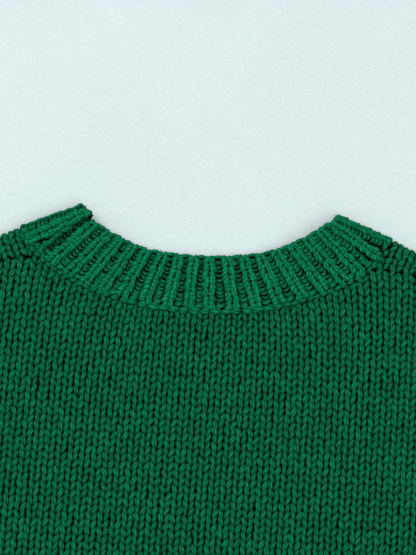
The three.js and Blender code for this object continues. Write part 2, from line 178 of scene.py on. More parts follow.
BODY_CREASES = table(
    ("x", "y", "angle", "length", "width", "height"),
    (240, 40, 214, 120, 17, 3.4),
    (246, 78, 193, 90, 15, 2.4),
    (-238, 34, -28, 135, 18, 3.1),
    (-244, 84, -9, 76, 15, 2.7),
    (190, -150, 176, 150, 24, 2.2),
    (-205, -118, -7, 118, 22, 2.6),
)
SLEEVE_CREASES = table(
    ("along", "lean", "reach", "width", "height"),
    (0.13, 0.1, 118, 13, 4.2),
    (0.24, 0.04, 96, 12, 3.6),
    (0.36, -0.03, 82, 13, 3.2),
    (0.68, -0.08, 70, 15, 2.4),
)

# What the camera's picture takes in, where the strands are finest, and the back's lower part
NEAR = {"half_width": 160.0, "bottom": 54.0}
LOW_Y = -80.0
# A strand's mesh, as its sides and its rings
FINE = (6, 5)
PLAIN = (4, 3)
SEED = 24


class PulloverSizes(bpy.types.PropertyGroup):
    """The knitting's own sizes."""

    stitch_width: bpy.props.FloatProperty(
        name="Stitch width", description="From one column of stitches to the next",
        default=0.0082, unit="LENGTH",
    )
    row_height: bpy.props.FloatProperty(
        name="Row height", description="From one row of plain knitting to the next",
        default=0.00504, unit="LENGTH",
    )
    rib_row: bpy.props.FloatProperty(
        name="Rib row height", description="From one row of the ribbing to the next",
        default=0.00305, unit="LENGTH",
    )
    yarn_width: bpy.props.FloatProperty(
        name="Yarn width", description="Width of a strand as it lies in a plain stitch",
        default=0.0037, unit="LENGTH",
    )
    unevenness: bpy.props.FloatProperty(
        name="Unevenness", description="How far a strand may turn out of line",
        default=math.radians(5), subtype="ANGLE",
    )


class PulloverColours(bpy.types.PropertyGroup):
    """The colours of the yarn, of the loops behind it, which carry painted shade, and of what the
    pullover lies on.
    """

    yarn: bpy.props.FloatVectorProperty(
        name="Yarn", description="The yarn where light falls on it",
        default=(0.0013, 0.171, 0.068), subtype="COLOR", min=0, max=1,
    )
    # Painted shade: the loops behind the stitches are of the same green yarn, given this near-black
    # colour for the shade that falls between the stitches.
    loops: bpy.props.FloatVectorProperty(
        name="Loops", description="The shaded loops behind the stitches",
        default=(0.0002, 0.005, 0.0023), subtype="COLOR", min=0, max=1,
    )
    table: bpy.props.FloatVectorProperty(
        name="Table", description="The pale surface underneath",
        default=(0.70, 0.795, 0.80), subtype="COLOR", min=0, max=1,
    )


def smooth(value, low, high):
    """0 below low, 1 above high, and an even curve between them."""
    share = np.clip((value - low) / (high - low), 0, 1)
    return share * share * (3 - 2 * share)


def read(rows, key, at, column):
    return np.interp(at, rows[key], rows[column])


def each_row(rows):
    """The rows of a table, each as a dictionary."""
    return [dict(zip(rows, values)) for values in zip(*rows.values())]


def stacked(*columns):
    """Points from their separate measures."""
    return np.stack(np.broadcast_arrays(*columns), -1)


def unit(vectors):
    return vectors / np.linalg.norm(vectors, axis=-1, keepdims=True)


def lengths_along(points):
    """How far along a path each of its points is."""
    return np.concatenate([[0], np.cumsum(np.linalg.norm(np.diff(points, axis=0), axis=1))])


def curve(rows, at, places):
    """A smooth curve through the rows, which stand at the lengths in at, read at some places."""
    slopes = np.gradient(rows, at, axis=0)
    i = np.clip(np.searchsorted(at, places, side="right") - 1, 0, len(at) - 2)
    step = (at[i + 1] - at[i])[..., None]
    u = (places - at[i])[..., None] / step
    return (
        (1 + 2 * u) * (1 - u) ** 2 * rows[i]
        + u * (1 - u) ** 2 * step * slopes[i]
        + u * u * (3 - 2 * u) * rows[i + 1]
        + u * u * (u - 1) * step * slopes[i + 1]
    )


# The garment's form

def body_half(y):
    return read(BODY_SIDE, "y", y, "half")


def fold_line(x):
    return read(SHOULDER_FOLD, "x", np.abs(x), "y")


def fold_lift(distance):
    """How far the cloth is lifted by the turn of a fold at that distance."""
    return (FOLD_HEIGHT - REST_HEIGHT) * (1 - smooth(distance, FOLD_REACH, FOLD_FADE))


def shoulder_distance(x, y):
    beyond = np.maximum(SHOULDER_FOLD["x"][0] - np.abs(x), 0)
    return np.hypot(beyond, (fold_line(x) - y) * math.cos(SHOULDER_SLOPE))


def crease_height(x, y):
    height = np.zeros(np.broadcast(x, y).shape)
    for crease in each_row(BODY_CREASES):
        angle = math.radians(crease["angle"])
        dx, dy = x - crease["x"], y - crease["y"]
        along = (dx * math.cos(angle) + dy * math.sin(angle)) / crease["length"]
        off = (dy * math.cos(angle) - dx * math.sin(angle)) / crease["width"]
        ends = smooth(along, -0.1, 0.25) * (1 - smooth(along, 0.45, 1))
        height = height + crease["height"] * ends * np.exp(-off * off)
    return height


def body_top(x, y):
    """Height of the body's upper surface."""
    side = np.hypot(body_half(y) - np.abs(x), np.maximum(0, y - UNDERARM_Y + SIDE_TURN))
    lift = fold_lift(np.minimum(side, shoulder_distance(x, y)))
    hollow = NECK_HOLLOW
    ring = np.hypot(x / hollow["half_width"], (y - hollow["y"]) / hollow["depth"])
    sunk = hollow["sink"] * (1 - smooth(ring, hollow["start"], hollow["end"]))
    return REST_HEIGHT + lift - sunk + crease_height(x, y)


def side_fold(y):
    """How much the body turns over at its side: fully below the underarm, not at the armhole."""
    return 1 - smooth(y, UNDERARM_Y - SIDE_TURN, UNDERARM_Y)


def fold_angle(past):
    """How far round a fold cloth has turned that runs past the flat cloth's end."""
    return np.clip(past / FOLD_ARC, 0, 2) * math.pi / 2


def fold_out(past, depth=0.0):
    return (FOLD_REACH - depth) * np.sin(fold_angle(past))


def fold_height(past, top, depth=0.0):
    angle = fold_angle(past)
    rise = np.where(angle < math.pi / 2, top - FOLD_MIDDLE, FOLD_MIDDLE)
    return FOLD_MIDDLE + (rise - depth) * np.cos(angle)


def body_point(across, y, depth, above):
    """A point of the back, or of the front beneath it, and round the fold at the side."""
    side = np.where(across < 0, -1.0, 1.0)
    x = np.minimum(np.abs(across), body_half(y) - FOLD_REACH)
    past = np.abs(across) - x
    plain_x = x + np.minimum(past, FOLD_REACH)
    plain_z = body_top(side * plain_x, y) - depth if above else depth
    turn = past if above else 2 * FOLD_ARC - np.minimum(past, FOLD_ARC)
    turned_x = x + fold_out(turn, depth)
    turned_z = fold_height(turn, body_top(side * x, y), depth)
    share = side_fold(y)
    across = side * (plain_x * (1 - share) + turned_x * share)
    return stacked(across, y, plain_z * (1 - share) + turned_z * share)


def back_point(across, y, depth=0.0):
    return body_point(across, y, depth, True)


def front_point(across, y, depth=0.0):
    """A point of the front, whose outer side is down."""
    return body_point(across, y, depth, False)


class Band:
    """The neckband's plan: its edge and its seam, read by the length along its middle."""

    def __init__(self, rows):
        at = lengths_along(rows[:, :2] + rows[:, 2:])
        self.path = curve(rows, at, np.linspace(0, at[-1], 800))
        self.at = lengths_along((self.path[:, :2] + self.path[:, 2:]) / 2)
        self.length = self.at[-1]

    def read(self, along):
        path = [np.interp(along, self.at, self.path[:, k]) for k in range(4)]
        return np.stack(path[:2], -1), np.stack(path[2:], -1)


def band_rows(half, outwards):
    rows = np.stack(list(half.values()), -1)
    other = rows * np.array((-1, 1, -1, 1))
    if outwards:
        return np.concatenate([other[:0:-1], rows])
    return np.concatenate([rows, other[-2::-1]])


BACK_BAND = Band(band_rows(NECK_BACK, True))
FRONT_BAND = Band(band_rows(NECK_FRONT, False))


def back_top_line(x):
    """Where the back ends: at the neckband's seam, or at the shoulder seam beside it."""
    neck = read(NECK_BACK, "seam_x", np.abs(x), "seam_y")
    shoulder = read(SHOULDER_SEAM, "x", np.abs(x), "y")
    return np.where(np.abs(x) < SHOULDER_SEAM["x"][0], neck, shoulder)


def band_width(along):
    edge, seam = BACK_BAND.read(np.clip(along, 0, BACK_BAND.length))
    return np.linalg.norm(edge - seam, axis=-1) + BAND_JOIN["proud"] * (along < BAND_JOIN["at"])


def band_past(along):
    """How far past the ends of the band's part on the back, where it turns round its folds."""
    return np.maximum(np.maximum(-along, along - BACK_BAND.length), 0)


def band_at(along, reach, depth=0.0):
    """A point of the neckband on the back and round its folds, reaching out from the seam."""
    edge, seam = BACK_BAND.read(np.clip(along, 0, BACK_BAND.length))
    at = seam + unit(edge - seam) * np.asarray(reach)[..., None]
    x, y = at[..., 0], at[..., 1]
    top = body_top(x, y) + BAND_JOIN["raised"] * (along < BAND_JOIN["at"])
    past = band_past(along)
    side = np.where(along < BACK_BAND.length / 2, -1.0, 1.0)
    out = fold_out(past, depth)
    z = fold_height(past, top, depth)
    return stacked(x + side * NECK_TURN[0] * out, y + NECK_TURN[1] * out, z)


def neckband_point(along, up):
    """A point of the neckband's outer side. up runs from the seam over the rounded edge."""
    radius, inset, sink = WALL / 2, 0.8, 1.2
    flat = band_width(along) - radius - inset
    over = np.clip((up - flat) / radius, 0, math.pi)
    sunk = sink * smooth(np.maximum(-along, along - BACK_BAND.length), -4, 3)
    reach = np.minimum(up, flat) + radius * np.sin(over)
    return band_at(along, reach, sunk + radius * (1 - np.cos(over)))


def shoulder_point(side, x, turn, depth=0.0):
    """A point of the front where it turns over the shoulder, by a turn past the fold's line."""
    past = FOLD_ARC - turn
    inward = FOLD_REACH - fold_out(past, depth) + np.maximum(np.abs(turn) - FOLD_ARC, 0)
    px = x - inward * math.sin(SHOULDER_SLOPE)
    py = fold_line(x) - inward * math.cos(SHOULDER_SLOPE)
    top = REST_HEIGHT + fold_lift(shoulder_distance(px, py))
    return stacked(side * px, py, fold_height(past, top, depth))


def sleeve_edges(share):
    """The right sleeve's upper and under edge, at a share of its length."""
    rows = np.stack(list(SLEEVE.values()), -1)
    edges = curve(rows, np.linspace(0, 1, len(rows)), np.asarray(share, float))
    return edges[..., :2], edges[..., 2:]


def sleeve_width(share):
    top, under = sleeve_edges(share)
    return np.linalg.norm(top - under, axis=-1)


def cuff_width(along):
    share = np.asarray(along, float) / CUFF_LENGTH
    return CUFF_WIDTH[0] + (CUFF_WIDTH[1] - CUFF_WIDTH[0]) * share


UNDERARM_LENGTH = math.hypot(
    SLEEVE["under_x"][-1] - SLEEVE["under_x"][0], SLEEVE["under_y"][-1] - UNDERARM_Y
)


def sleeve_crease(share, across):
    height = np.zeros(np.broadcast(share, across).shape)
    for crease in each_row(SLEEVE_CREASES):
        off = (share - crease["along"]) * UNDERARM_LENGTH - crease["lean"] * across
        off = off / crease["width"]
        start = smooth(across, FOLD_REACH, 3 * FOLD_REACH)
        end = 1 - smooth(across / crease["reach"], 0.5, 1)
        height = height + crease["height"] * start * end * np.exp(-off * off)
    return height


def tube_point(under, top, around, crease, depth=0.0):
    """A point of a flattened tube. around runs both ways from the middle of its upper side."""
    width = np.linalg.norm(top - under, axis=-1)
    flat = width / 2 - FOLD_REACH
    side = np.where(around < 0, -1.0, 1.0)
    inner = np.minimum(np.abs(around), flat)
    past = np.abs(around) - inner
    height = REST_HEIGHT + fold_lift(width / 2 - inner) + crease(side * inner + width / 2)
    beneath = past - 2 * FOLD_ARC
    reach = np.where(beneath > 0, flat - beneath, inner + fold_out(past, depth))
    z = np.where(beneath > 0, depth, fold_height(past, height, depth))
    xy = (under + top) / 2 + unit(top - under) * (side * reach)[..., None]
    return np.concatenate([xy, z[..., None]], -1)


def sleeve_point(around, share, depth=0.0):
    top, under = sleeve_edges(share)
    return tube_point(under, top, around, lambda across: sleeve_crease(share, across), depth)


def cuff_point(around, along, depth=0.0):
    """A point of the right cuff, along from the sleeve's end."""
    top, under = sleeve_edges(1.0)
    across = unit(top - under)
    onward = np.array((across[1], -across[0]))
    middle = (top + under) / 2 + onward * np.asarray(along, float)[..., None]
    half = across * (cuff_width(along) / 2)[..., None]
    return tube_point(middle - half, middle + half, around, lambda across: 0.0, depth)


# Meshes

def new_object(name, mesh):
    piece = bpy.data.objects.new(name, mesh)
    bpy.context.scene.collection.objects.link(piece)
    return piece


def wall_mesh(name, outer, inner, across, along, knitted=None, gaps=None):
    """A closed wall of cloth between two grids of points, in millimetres.

    across and along are the cloth's own measures at its columns and rows, which its finish reads.
    A grid whose last column is its first again closes on itself, as round a sleeve. knitted says
    which of its outer faces show their stitches in the finish, and gaps which are left open.
    """
    rows, columns = outer.shape[:2]
    closed = np.allclose(outer[:, 0], outer[:, -1])
    present = np.ones((rows - 1, columns - 1), bool) if gaps is None else ~gaps
    shift = rows * columns

    def out(i, j):
        return i * columns + (j % (columns - 1) if closed else j)

    def has(i, j):
        if closed:
            j %= columns - 1
        return 0 <= i < rows - 1 and 0 <= j < columns - 1 and present[i, j]

    quads, measures, kinds = [], [], []
    for i, j in np.argwhere(present).tolist():
        corner = [(i, j), (i, j + 1), (i + 1, j + 1), (i + 1, j)]
        place = [(across[b], along[a]) for a, b in corner]
        quads.append([out(a, b) for a, b in corner])
        quads.append([shift + out(a, b) for a, b in reversed(corner)])
        measures += place + place[::-1]
        kinds += [int(knitted is not None and knitted[i, j]), 0]
        beside = [(i - 1, j), (i, j + 1), (i + 1, j), (i, j - 1)]
        for k, neighbour in enumerate(beside):
            if has(*neighbour):
                continue
            (a, b), (c, d) = corner[(k + 1) % 4], corner[k]
            quads.append([out(a, b), out(c, d), shift + out(c, d), shift + out(a, b)])
            measures += [place[(k + 1) % 4], place[k], place[k], place[(k + 1) % 4]]
            kinds.append(1)
    points = np.concatenate([outer.reshape(-1, 3), inner.reshape(-1, 3)])
    used, quads = np.unique(np.array(quads), return_inverse=True)
    return cloth_mesh(name, points[used], quads.reshape(-1, 4), measures, kinds)


def loop_mesh(name, rings, outside, above):
    """A closed solid from sections that run round a loop and meet themselves again.

    outside says which of a section's places are on the outer side, and above which sections lie
    on top. A row of the loop measures 1 mm along it and a place of a section 4 mm round it.
    """
    around, count = rings.shape[:2]
    quads, measures, kinds = [], [], []
    for i in range(around):
        for j in range(count):
            corner = [(i, j), (i, j + 1), (i + 1, j + 1), (i + 1, j)]
            quads.append([a % around * count + b % count for a, b in corner])
            measures += [(a * 1.0, b * 4.0) for a, b in corner]
            kinds.append(int(not above[i] and outside[j] > 0.5))
    return cloth_mesh(name, rings.reshape(-1, 3), np.array(quads), measures, kinds)


def cloth_mesh(name, points, quads, measures, kinds):
    mesh = bpy.data.meshes.new(name)
    mesh.from_pydata((points * MM).tolist(), [], quads.tolist())
    layer = mesh.uv_layers.new(name="cloth")
    layer.data.foreach_set("uv", (np.array(measures, float) * MM).ravel())
    mesh.polygons.foreach_set("material_index", np.array(kinds, int))
    mesh.shade_smooth()
    return facing_out(mesh)


def facing_out(mesh):
    """Turns a closed mesh's faces over if they face inwards."""
    mesh.calc_loop_triangles()
    corners = np.zeros(len(mesh.loop_triangles) * 3, int)
    mesh.loop_triangles.foreach_get("vertices", corners)
    a, b, c = places_of(mesh)[corners.reshape(-1, 3)].transpose(1, 0, 2)
    if (a * np.cross(b, c)).sum() < 0:
        mesh.flip_normals()
    return mesh


def places_of(mesh):
    points = np.zeros(len(mesh.vertices) * 3)
    mesh.vertices.foreach_get("co", points)
    return points.reshape(-1, 3)


def pressed_flat(mesh):
    """The mesh with what would sink into the table pressed flat on it."""
    points, least = places_of(mesh), 0.0001
    points[:, 2] = np.maximum(points[:, 2], least)
    mesh.vertices.foreach_set("co", points.ravel())
    mesh.update()
    return mesh


def frames(surface, u, v, lean=0.0, across_leads=False):
    """Places on a surface and their turned axes: across it, along it and out of it."""
    step = 0.6
    at = surface(u, v)
    across = surface(u + step, v) - surface(u - step, v)
    along = surface(u + lean * step, v + step) - surface(u - lean * step, v - step)
    out = unit(np.cross(across, along))
    if across_leads:
        across = unit(across)
        along = np.cross(out, across)
    else:
        along = unit(along)
        across = np.cross(along, out)
    return at, np.stack([across, along, out], -1)


def euler_angles(turns):
    about_x = np.arctan2(turns[..., 2, 1], turns[..., 2, 2])
    about_y = -np.arcsin(np.clip(turns[..., 2, 0], -1, 1))
    about_z = np.arctan2(turns[..., 1, 0], turns[..., 0, 0])
    return np.stack([about_x, about_y, about_z], -1)


# The strands' shapes. x is across the column of stitches, y up it and z out of the cloth.

LEG_LENGTH = 8.9
# How a plain stitch's two legs lie, first the slighter one and then the fuller one
LEGS = table(
    ("first", "lean", "low", "dive", "girth"), (1.3, 1.5, -1.5, 2.3, 0.86), (0.8, 2.5, -1.2, 2.6, 1.0)
)
BAR = 2


def swelling(share, size, start, end):
    """A measure that swells from a share of its size to all of it, and goes down to another."""
    rise = smooth(share, 0, 0.42)
    fall = smooth(share, 0.58, 1)
    return size * ((start + (1 - start) * rise) * (1 - fall) + end * fall)


def strand_mesh(name, path, width, thickness, fineness):
    """A short strand of yarn with pointed ends, with its own measures round it and along it.

    path gives a point for a share of its length. width and thickness are each its greatest
    measure and the shares of that at its two ends.
    """
    sides, rings = fineness
    share = np.linspace(0, 1, rings + 2)
    centre = np.array([path(t) for t in share])
    ahead = unit(np.gradient(centre, share, axis=0))
    up = unit(np.array((0, 0, 1.0)) - ahead * ahead[:, 2:3])
    aside = np.cross(ahead, up)
    turn = 2 * math.pi * (np.arange(sides) + 0.5) / sides
    plump = 0.57 if sides == 4 else 0.5
    wide = aside * (swelling(share, *width) * plump)[:, None]
    thick = up * (swelling(share, *thickness) * plump)[:, None]
    points, measures = [centre[0]], [(0, 0, 0)]
    for i in range(1, rings + 1):
        for angle in turn:
            points.append(centre[i] + wide[i] * math.cos(angle) + thick[i] * math.sin(angle))
            measures.append((math.cos(angle), math.sin(angle), share[i]))
    points.append(centre[-1])
    measures.append((0, 0, 1))
    last = len(points) - 1
    faces = []
    for k in range(sides):
        after = (k + 1) % sides
        faces.append([0, 1 + k, 1 + after])
        for i in range(rings - 1):
            low, high = 1 + i * sides, 1 + (i + 1) * sides
            faces.append([low + k, high + k, high + after, low + after])
        low = 1 + (rings - 1) * sides
        faces.append([low + k, last, low + after])
    mesh = bpy.data.meshes.new(name)
    mesh.from_pydata((np.array(points) * MM).tolist(), [], faces)
    attribute = mesh.attributes.new("strand", "FLOAT_VECTOR", "POINT")
    attribute.data.foreach_set("vector", np.array(measures, float).ravel())
    mesh.shade_smooth()
    return facing_out(mesh)


def leg_strand(name, side, full, width, fineness):
    """One leg of a plain stitch, which comes out of the cloth and leans outwards.

    Rows are knitted to and fro, so one leg of a stitch is fuller than the other, turn about.
    """
    leg = each_row(LEGS)[full]
    girth = width * leg["girth"]

    def path(t):
        x = leg["first"] + leg["lean"] * (0.3 * t + 0.7 * smooth(t, 0.1, 0.9))
        ends = (1 - smooth(t, 0, 0.4)) ** 1.3 + smooth(t, 0.6, 1) ** 1.3
        return side * x, (t - 0.5) * LEG_LENGTH, leg["low"] - leg["dive"] * ends

    return strand_mesh(name, path, (girth, 0.4, 0.4), (0.86 * girth, 0.5, 0.5), fineness)


def rib_strand(name, side, closing, fineness):
    """One leg of a rib's stitch. closing is how it leans: to the rib's middle, or from it."""
    length, middle, lean = 5.6, 2.1, 2.5

    def path(t):
        x = middle + lean * (0.5 - t) * closing
        dive = 2.6 * (1 - smooth(t, 0, 0.48)) + 2.8 * smooth(t, 0.52, 1)
        return side * x, (t - 0.5) * length, 0.6 - dive

    return strand_mesh(name, path, (4.3, 0.5, 0.5), (3.3, 0.5, 0.5), fineness)


def bar_strand(name, fineness):
    """The back of a stitch, which shows as a short curved bar between two ribs."""
    length, girth = 6.4, (1.9, 0.7, 0.7)

    def path(t):
        bow = (2 * t - 1) ** 2
        return (t - 0.5) * length, 2.2 * bow - 0.8, 0.7 * bow

    return strand_mesh(name, path, girth, girth, fineness)


def link_strand(name, length, girth, bow, fineness):
    """A stitch that lies along an edge or a seam, bowed to one side."""

    def path(t):
        sway = 0.45 * math.sin((t - 0.5) * 2 * math.pi * 0.8) + bow * (1 - (2 * t - 1) ** 2)
        dive = 1.7 * (1 - smooth(t, 0, 0.35)) + 1.5 * smooth(t, 0.68, 1)
        return (t - 0.5) * length, sway, -dive

    return strand_mesh(name, path, (girth, 0.45, 0.5), (0.9 * girth, 0.55, 0.55), fineness)


def leg_shapes(name, width, fineness):
    """The left and right leg of a stitch, both full, and then both slighter."""
    return [leg_strand(f"{name}_{i}", (-1, 1)[i % 2], i < 2, width, fineness) for i in range(4)]


def rib_shapes(name, fineness, closing=-1):
    """The left and right leg of a rib, and the bar beside it."""
    legs = [rib_strand(f"{name}_{i}", (-1, 1)[i], closing, fineness) for i in range(2)]
    return legs + [bar_strand(f"{name}_{BAR}", fineness)]


class Strands:
    """Places for strands, gathered before Geometry Nodes lays them.

    Kinds go in pairs, left and right, but for the single kind.
    """

    def __init__(self, single=-1):
        self.parts = []
        self.single = single

    # Each strand's brightness: it differs at random, and is set low where painted shade stands in for
    # a recess.
    def add(self, at, turns, kind, size, tone_and_shade):
        self.parts.append((at, euler_angles(turns), np.full(len(at), kind), size, tone_and_shade))

    def on(self, side):
        """The same strands for the garment's right side, 1, or mirrored for its left, -1."""
        if side > 0:
            return self
        other = Strands(self.single)
        for at, turn, kind, size, tone_and_shade in self.parts:
            swapped = np.where(kind == self.single, kind, kind ^ 1)
            other.parts.append((at * (-1, 1, 1), turn * (1, -1, -1), swapped, size, tone_and_shade))
        return other

    def mesh(self, name, keep):
        parts = [np.concatenate(part) for part in zip(*self.parts)]
        chosen = keep(parts[0])
        at, turn, kind, size, tone_and_shade = (part[chosen] for part in parts)
        mesh = bpy.data.meshes.new(name)
        mesh.from_pydata((at * MM).tolist(), [], [])
        for label, values, sort, field in (
            ("turn", turn, "FLOAT_VECTOR", "vector"),
            ("size", size, "FLOAT_VECTOR", "vector"),
            ("tone_and_shade", tone_and_shade, "FLOAT", "value"),
            ("kind", kind, "INT", "value"),
        ):
            attribute = mesh.attributes.new(label, sort, "POINT")
            attribute.data.foreach_set(field, values.ravel())
        return mesh


class NodeMaker:
    """Short words for making a tree's nodes."""

    def __init__(self, tree):
        self.tree = tree

    def fill(self, node, inputs):
        """Links each input to another node's output, or sets it to a value."""
        for socket, value in inputs.items():
            if isinstance(value, bpy.types.NodeSocket):
                self.tree.links.new(value, node.inputs[socket])
            else:
                node.inputs[socket].default_value = value

    def new(self, kind, inputs=None, **settings):
        node = self.tree.nodes.new(kind)
        for key, value in settings.items():
            setattr(node, key, value)
        self.fill(node, inputs or {})
        return node

    def maths(self, operation, *values):
        return self.new("ShaderNodeMath", dict(enumerate(values)), operation=operation).outputs[0]

    def scaled(self, vector, scale):
        inputs = {0: vector, "Scale": scale}
        return self.new("ShaderNodeVectorMath", inputs, operation="SCALE").outputs["Vector"]


def strand_tree(name, kinds):
    """Nodes that lay one of several strands at each point, turned and sized as the point says."""
    tree = bpy.data.node_groups.new(name, "GeometryNodeTree")
    sockets = [("Geometry", "Geometry")]
    sockets += [(f"Strand {kind}", "Object") for kind in range(kinds)]
    sockets += [("Yarn scale", "Float"), ("Unevenness", "Float"), ("Seed", "Int")]
    sockets.append(("Material", "Material"))
    for label, sort in sockets:
        socket = tree.interface.new_socket(label, in_out="INPUT", socket_type=f"NodeSocket{sort}")
        if label == "Yarn scale":
            socket.default_value = 1
    tree.interface.new_socket("Geometry", in_out="OUTPUT", socket_type="NodeSocketGeometry")
    nodes = NodeMaker(tree)
    given = nodes.new("NodeGroupInput").outputs

    def named(label, sort):
        node = nodes.new("GeometryNodeInputNamedAttribute", {"Name": label}, data_type=sort)
        return node.outputs["Attribute"]

    turn, kind_of = named("turn", "FLOAT_VECTOR"), named("kind", "INT")
    scale = nodes.scaled(named("size", "FLOAT_VECTOR"), given["Yarn scale"])
    join = nodes.new("GeometryNodeJoinGeometry")
    for kind in range(kinds):
        is_kind = nodes.new(
            "FunctionNodeCompare", {2: kind_of, 3: kind}, data_type="INT", operation="EQUAL"
        )
        shape = nodes.new("GeometryNodeObjectInfo", {"Object": given[f"Strand {kind}"]})
        lay = nodes.new("GeometryNodeInstanceOnPoints", {
            "Points": given["Geometry"],
            "Selection": is_kind.outputs["Result"],
            "Instance": shape.outputs["Geometry"],
            "Rotation": turn,
            "Scale": scale,
        })
        nodes.fill(join, {"Geometry": lay.outputs["Instances"]})
    wobble = nodes.new("FunctionNodeRandomValue", data_type="FLOAT_VECTOR")
    least = nodes.maths("MULTIPLY", given["Unevenness"], -1)
    nodes.fill(wobble, {"Min": least, "Max": given["Unevenness"], "Seed": given["Seed"]})
    inputs = {"Instances": join.outputs["Geometry"], "Rotation": wobble.outputs["Value"]}
    turned = nodes.new("GeometryNodeRotateInstances", inputs).outputs["Instances"]
    real = nodes.new("GeometryNodeRealizeInstances", {"Geometry": turned}).outputs["Geometry"]
    paint = nodes.new("GeometryNodeSetMaterial", {"Geometry": real, "Material": given["Material"]})
    nodes.new("NodeGroupOutput", {"Geometry": paint.outputs["Geometry"]})
    return tree


def lay_strands(name, places, shapes, material, unevenness, seed):
    """A finished mesh of strands, laid by Geometry Nodes at the places given."""
    piece = new_object(name, places)
    sources = [new_object(f"{name}_strand_{i}", mesh) for i, mesh in enumerate(shapes)]
    modifier = piece.modifiers.new("strands", "NODES")
    modifier.node_group = strand_tree(f"{name} strands", len(shapes))
    values = {"Unevenness": unevenness, "Seed": seed, "Material": material, "Yarn scale": 1.0}
    values.update({f"Strand {i}": source for i, source in enumerate(sources)})
    for socket in modifier.node_group.interface.items_tree:
        if socket.in_out == "INPUT" and socket.name in values:
            modifier[socket.identifier] = values[socket.name]
    view = bpy.context.evaluated_depsgraph_get()
    made = bpy.data.meshes.new_from_object(
        piece.evaluated_get(view), preserve_all_data_layers=True, depsgraph=view
    )
    piece.modifiers.clear()
    piece.data = pressed_flat(made)
    for source in sources:
        bpy.data.objects.remove(source)
    return piece


# Finishes

class Finish(NodeMaker):
    """A material that is being made."""

    def __init__(self, name):
        material = bpy.data.materials.new(name)
        material.use_nodes = True
        super().__init__(material.node_tree)
        self.shader = self.tree.nodes["Principled BSDF"]

    def attribute(self, name, output):
        return self.new("ShaderNodeAttribute", attribute_name=name).outputs[output]

    def split(self, vector):
        return self.new("ShaderNodeSeparateXYZ", {0: vector}).outputs

    def cloth_measures(self):
        return self.split(self.new("ShaderNodeUVMap", uv_map="cloth").outputs["UV"])

    def noise(self, scale, detail=2.0):
        place = self.new("ShaderNodeTexCoord").outputs["Object"]
        inputs = {"Vector": place, "Scale": scale, "Detail": detail}
        return self.new("ShaderNodeTexNoise", inputs).outputs["Fac"]

    def remap(self, value, low, high, new_low, new_high):
        names = ("Value", "From Min", "From Max", "To Min", "To Max")
        inputs = dict(zip(names, (value, low, high, new_low, new_high)))
        return self.new("ShaderNodeMapRange", inputs).outputs["Result"]

    def vary(self, noise, share):
        """A factor that varies with the noise, by up to a share each way."""
        return self.remap(noise, 0.3, 0.7, 1 - share, 1 + share)

    def wave(self, place, length, least):
        """A wave along a measure of the cloth, from least to 1."""
        turn = self.maths("MULTIPLY", self.maths("DIVIDE", place, length), 2 * math.pi)
        return self.remap(self.maths("SINE", turn), -1, 1, least, 1)

    def product(self, first, *others):
        for other in others:
            first = self.maths("MULTIPLY", first, other)
        return first

    def paint(self, colour, factor, height, depth, strength=1.0):
        """The colour made lighter or darker by a factor, and a relief of that depth."""
        relief = {"Height": height, "Distance": depth, "Strength": strength}
        normal = self.new("ShaderNodeBump", relief).outputs["Normal"]
        self.fill(self.shader, {"Base Color": self.scaled(colour[:3], factor), "Normal": normal})

    def matt(self, sheen):
        self.fill(self.shader, {
            "Roughness": 0.9,
            "Specular IOR Level": 0.06,
            "Sheen Weight": sheen,
            "Sheen Roughness": 0.5,
            "Sheen Tint": (0.01, 0.6, 0.3, 1),
        })


def yarn_finish(name, colour):
    """Plied yarn: several strands laid together and fine fibres, with painted shade where it dives,
    on its underside and between its plies.
    """
    nodes = Finish(name)
    strand = nodes.split(nodes.attribute("strand", "Vector"))
    tone_and_shade = nodes.attribute("tone_and_shade", "Fac")
    plies, twist = 4.0, 9.0
    laid = nodes.maths("MULTIPLY_ADD", strand["Z"], twist, nodes.maths("MULTIPLY", tone_and_shade, 20.0))
    round_it = nodes.maths("ARCTAN2", strand["Y"], strand["X"])
    ply = nodes.maths("SINE", nodes.maths("MULTIPLY_ADD", round_it, plies, laid))
    fibre = nodes.noise(1300.0, 3.0)
    middle = nodes.maths("ABSOLUTE", nodes.maths("MULTIPLY_ADD", strand["Z"], 2.0, -1.0))
    factor = nodes.product(
        # Darker between the plies: painted shade in the grooves of the twist.
        nodes.remap(ply, -1, 1, 0.56, 1.3),
        nodes.vary(fibre, 0.38),
        nodes.vary(nodes.noise(60.0), 0.05),
        # Painted shade: the strand's underside and flanks darker and its top lighter, as light falls
        # from above.
        nodes.remap(strand["Y"], -0.4, 0.55, 0.06, 1.0),
        # Painted shade where the strand dives under the next one, and a little painted light at its
        # middle.
        nodes.remap(nodes.maths("POWER", middle, 1.6), 0, 0.8, 1.12, 0.2),
        # Each strand's own brightness: partly random, partly painted shade where it is set low.
        nodes.remap(tone_and_shade, -1, 2, 0.38, 1.6),
    )
    nodes.paint(colour, factor, nodes.maths("MULTIPLY_ADD", ply, 0.3, fibre), 0.0006)
    nodes.matt(0.1)


def loops_shade_finish(name, colour):
    """The loops behind the stitches, dark with painted shade."""
    nodes = Finish(name)
    nodes.paint(colour, nodes.vary(nodes.noise(420.0), 0.4), nodes.noise(700.0), 0.0008)
    nodes.matt(0.0)


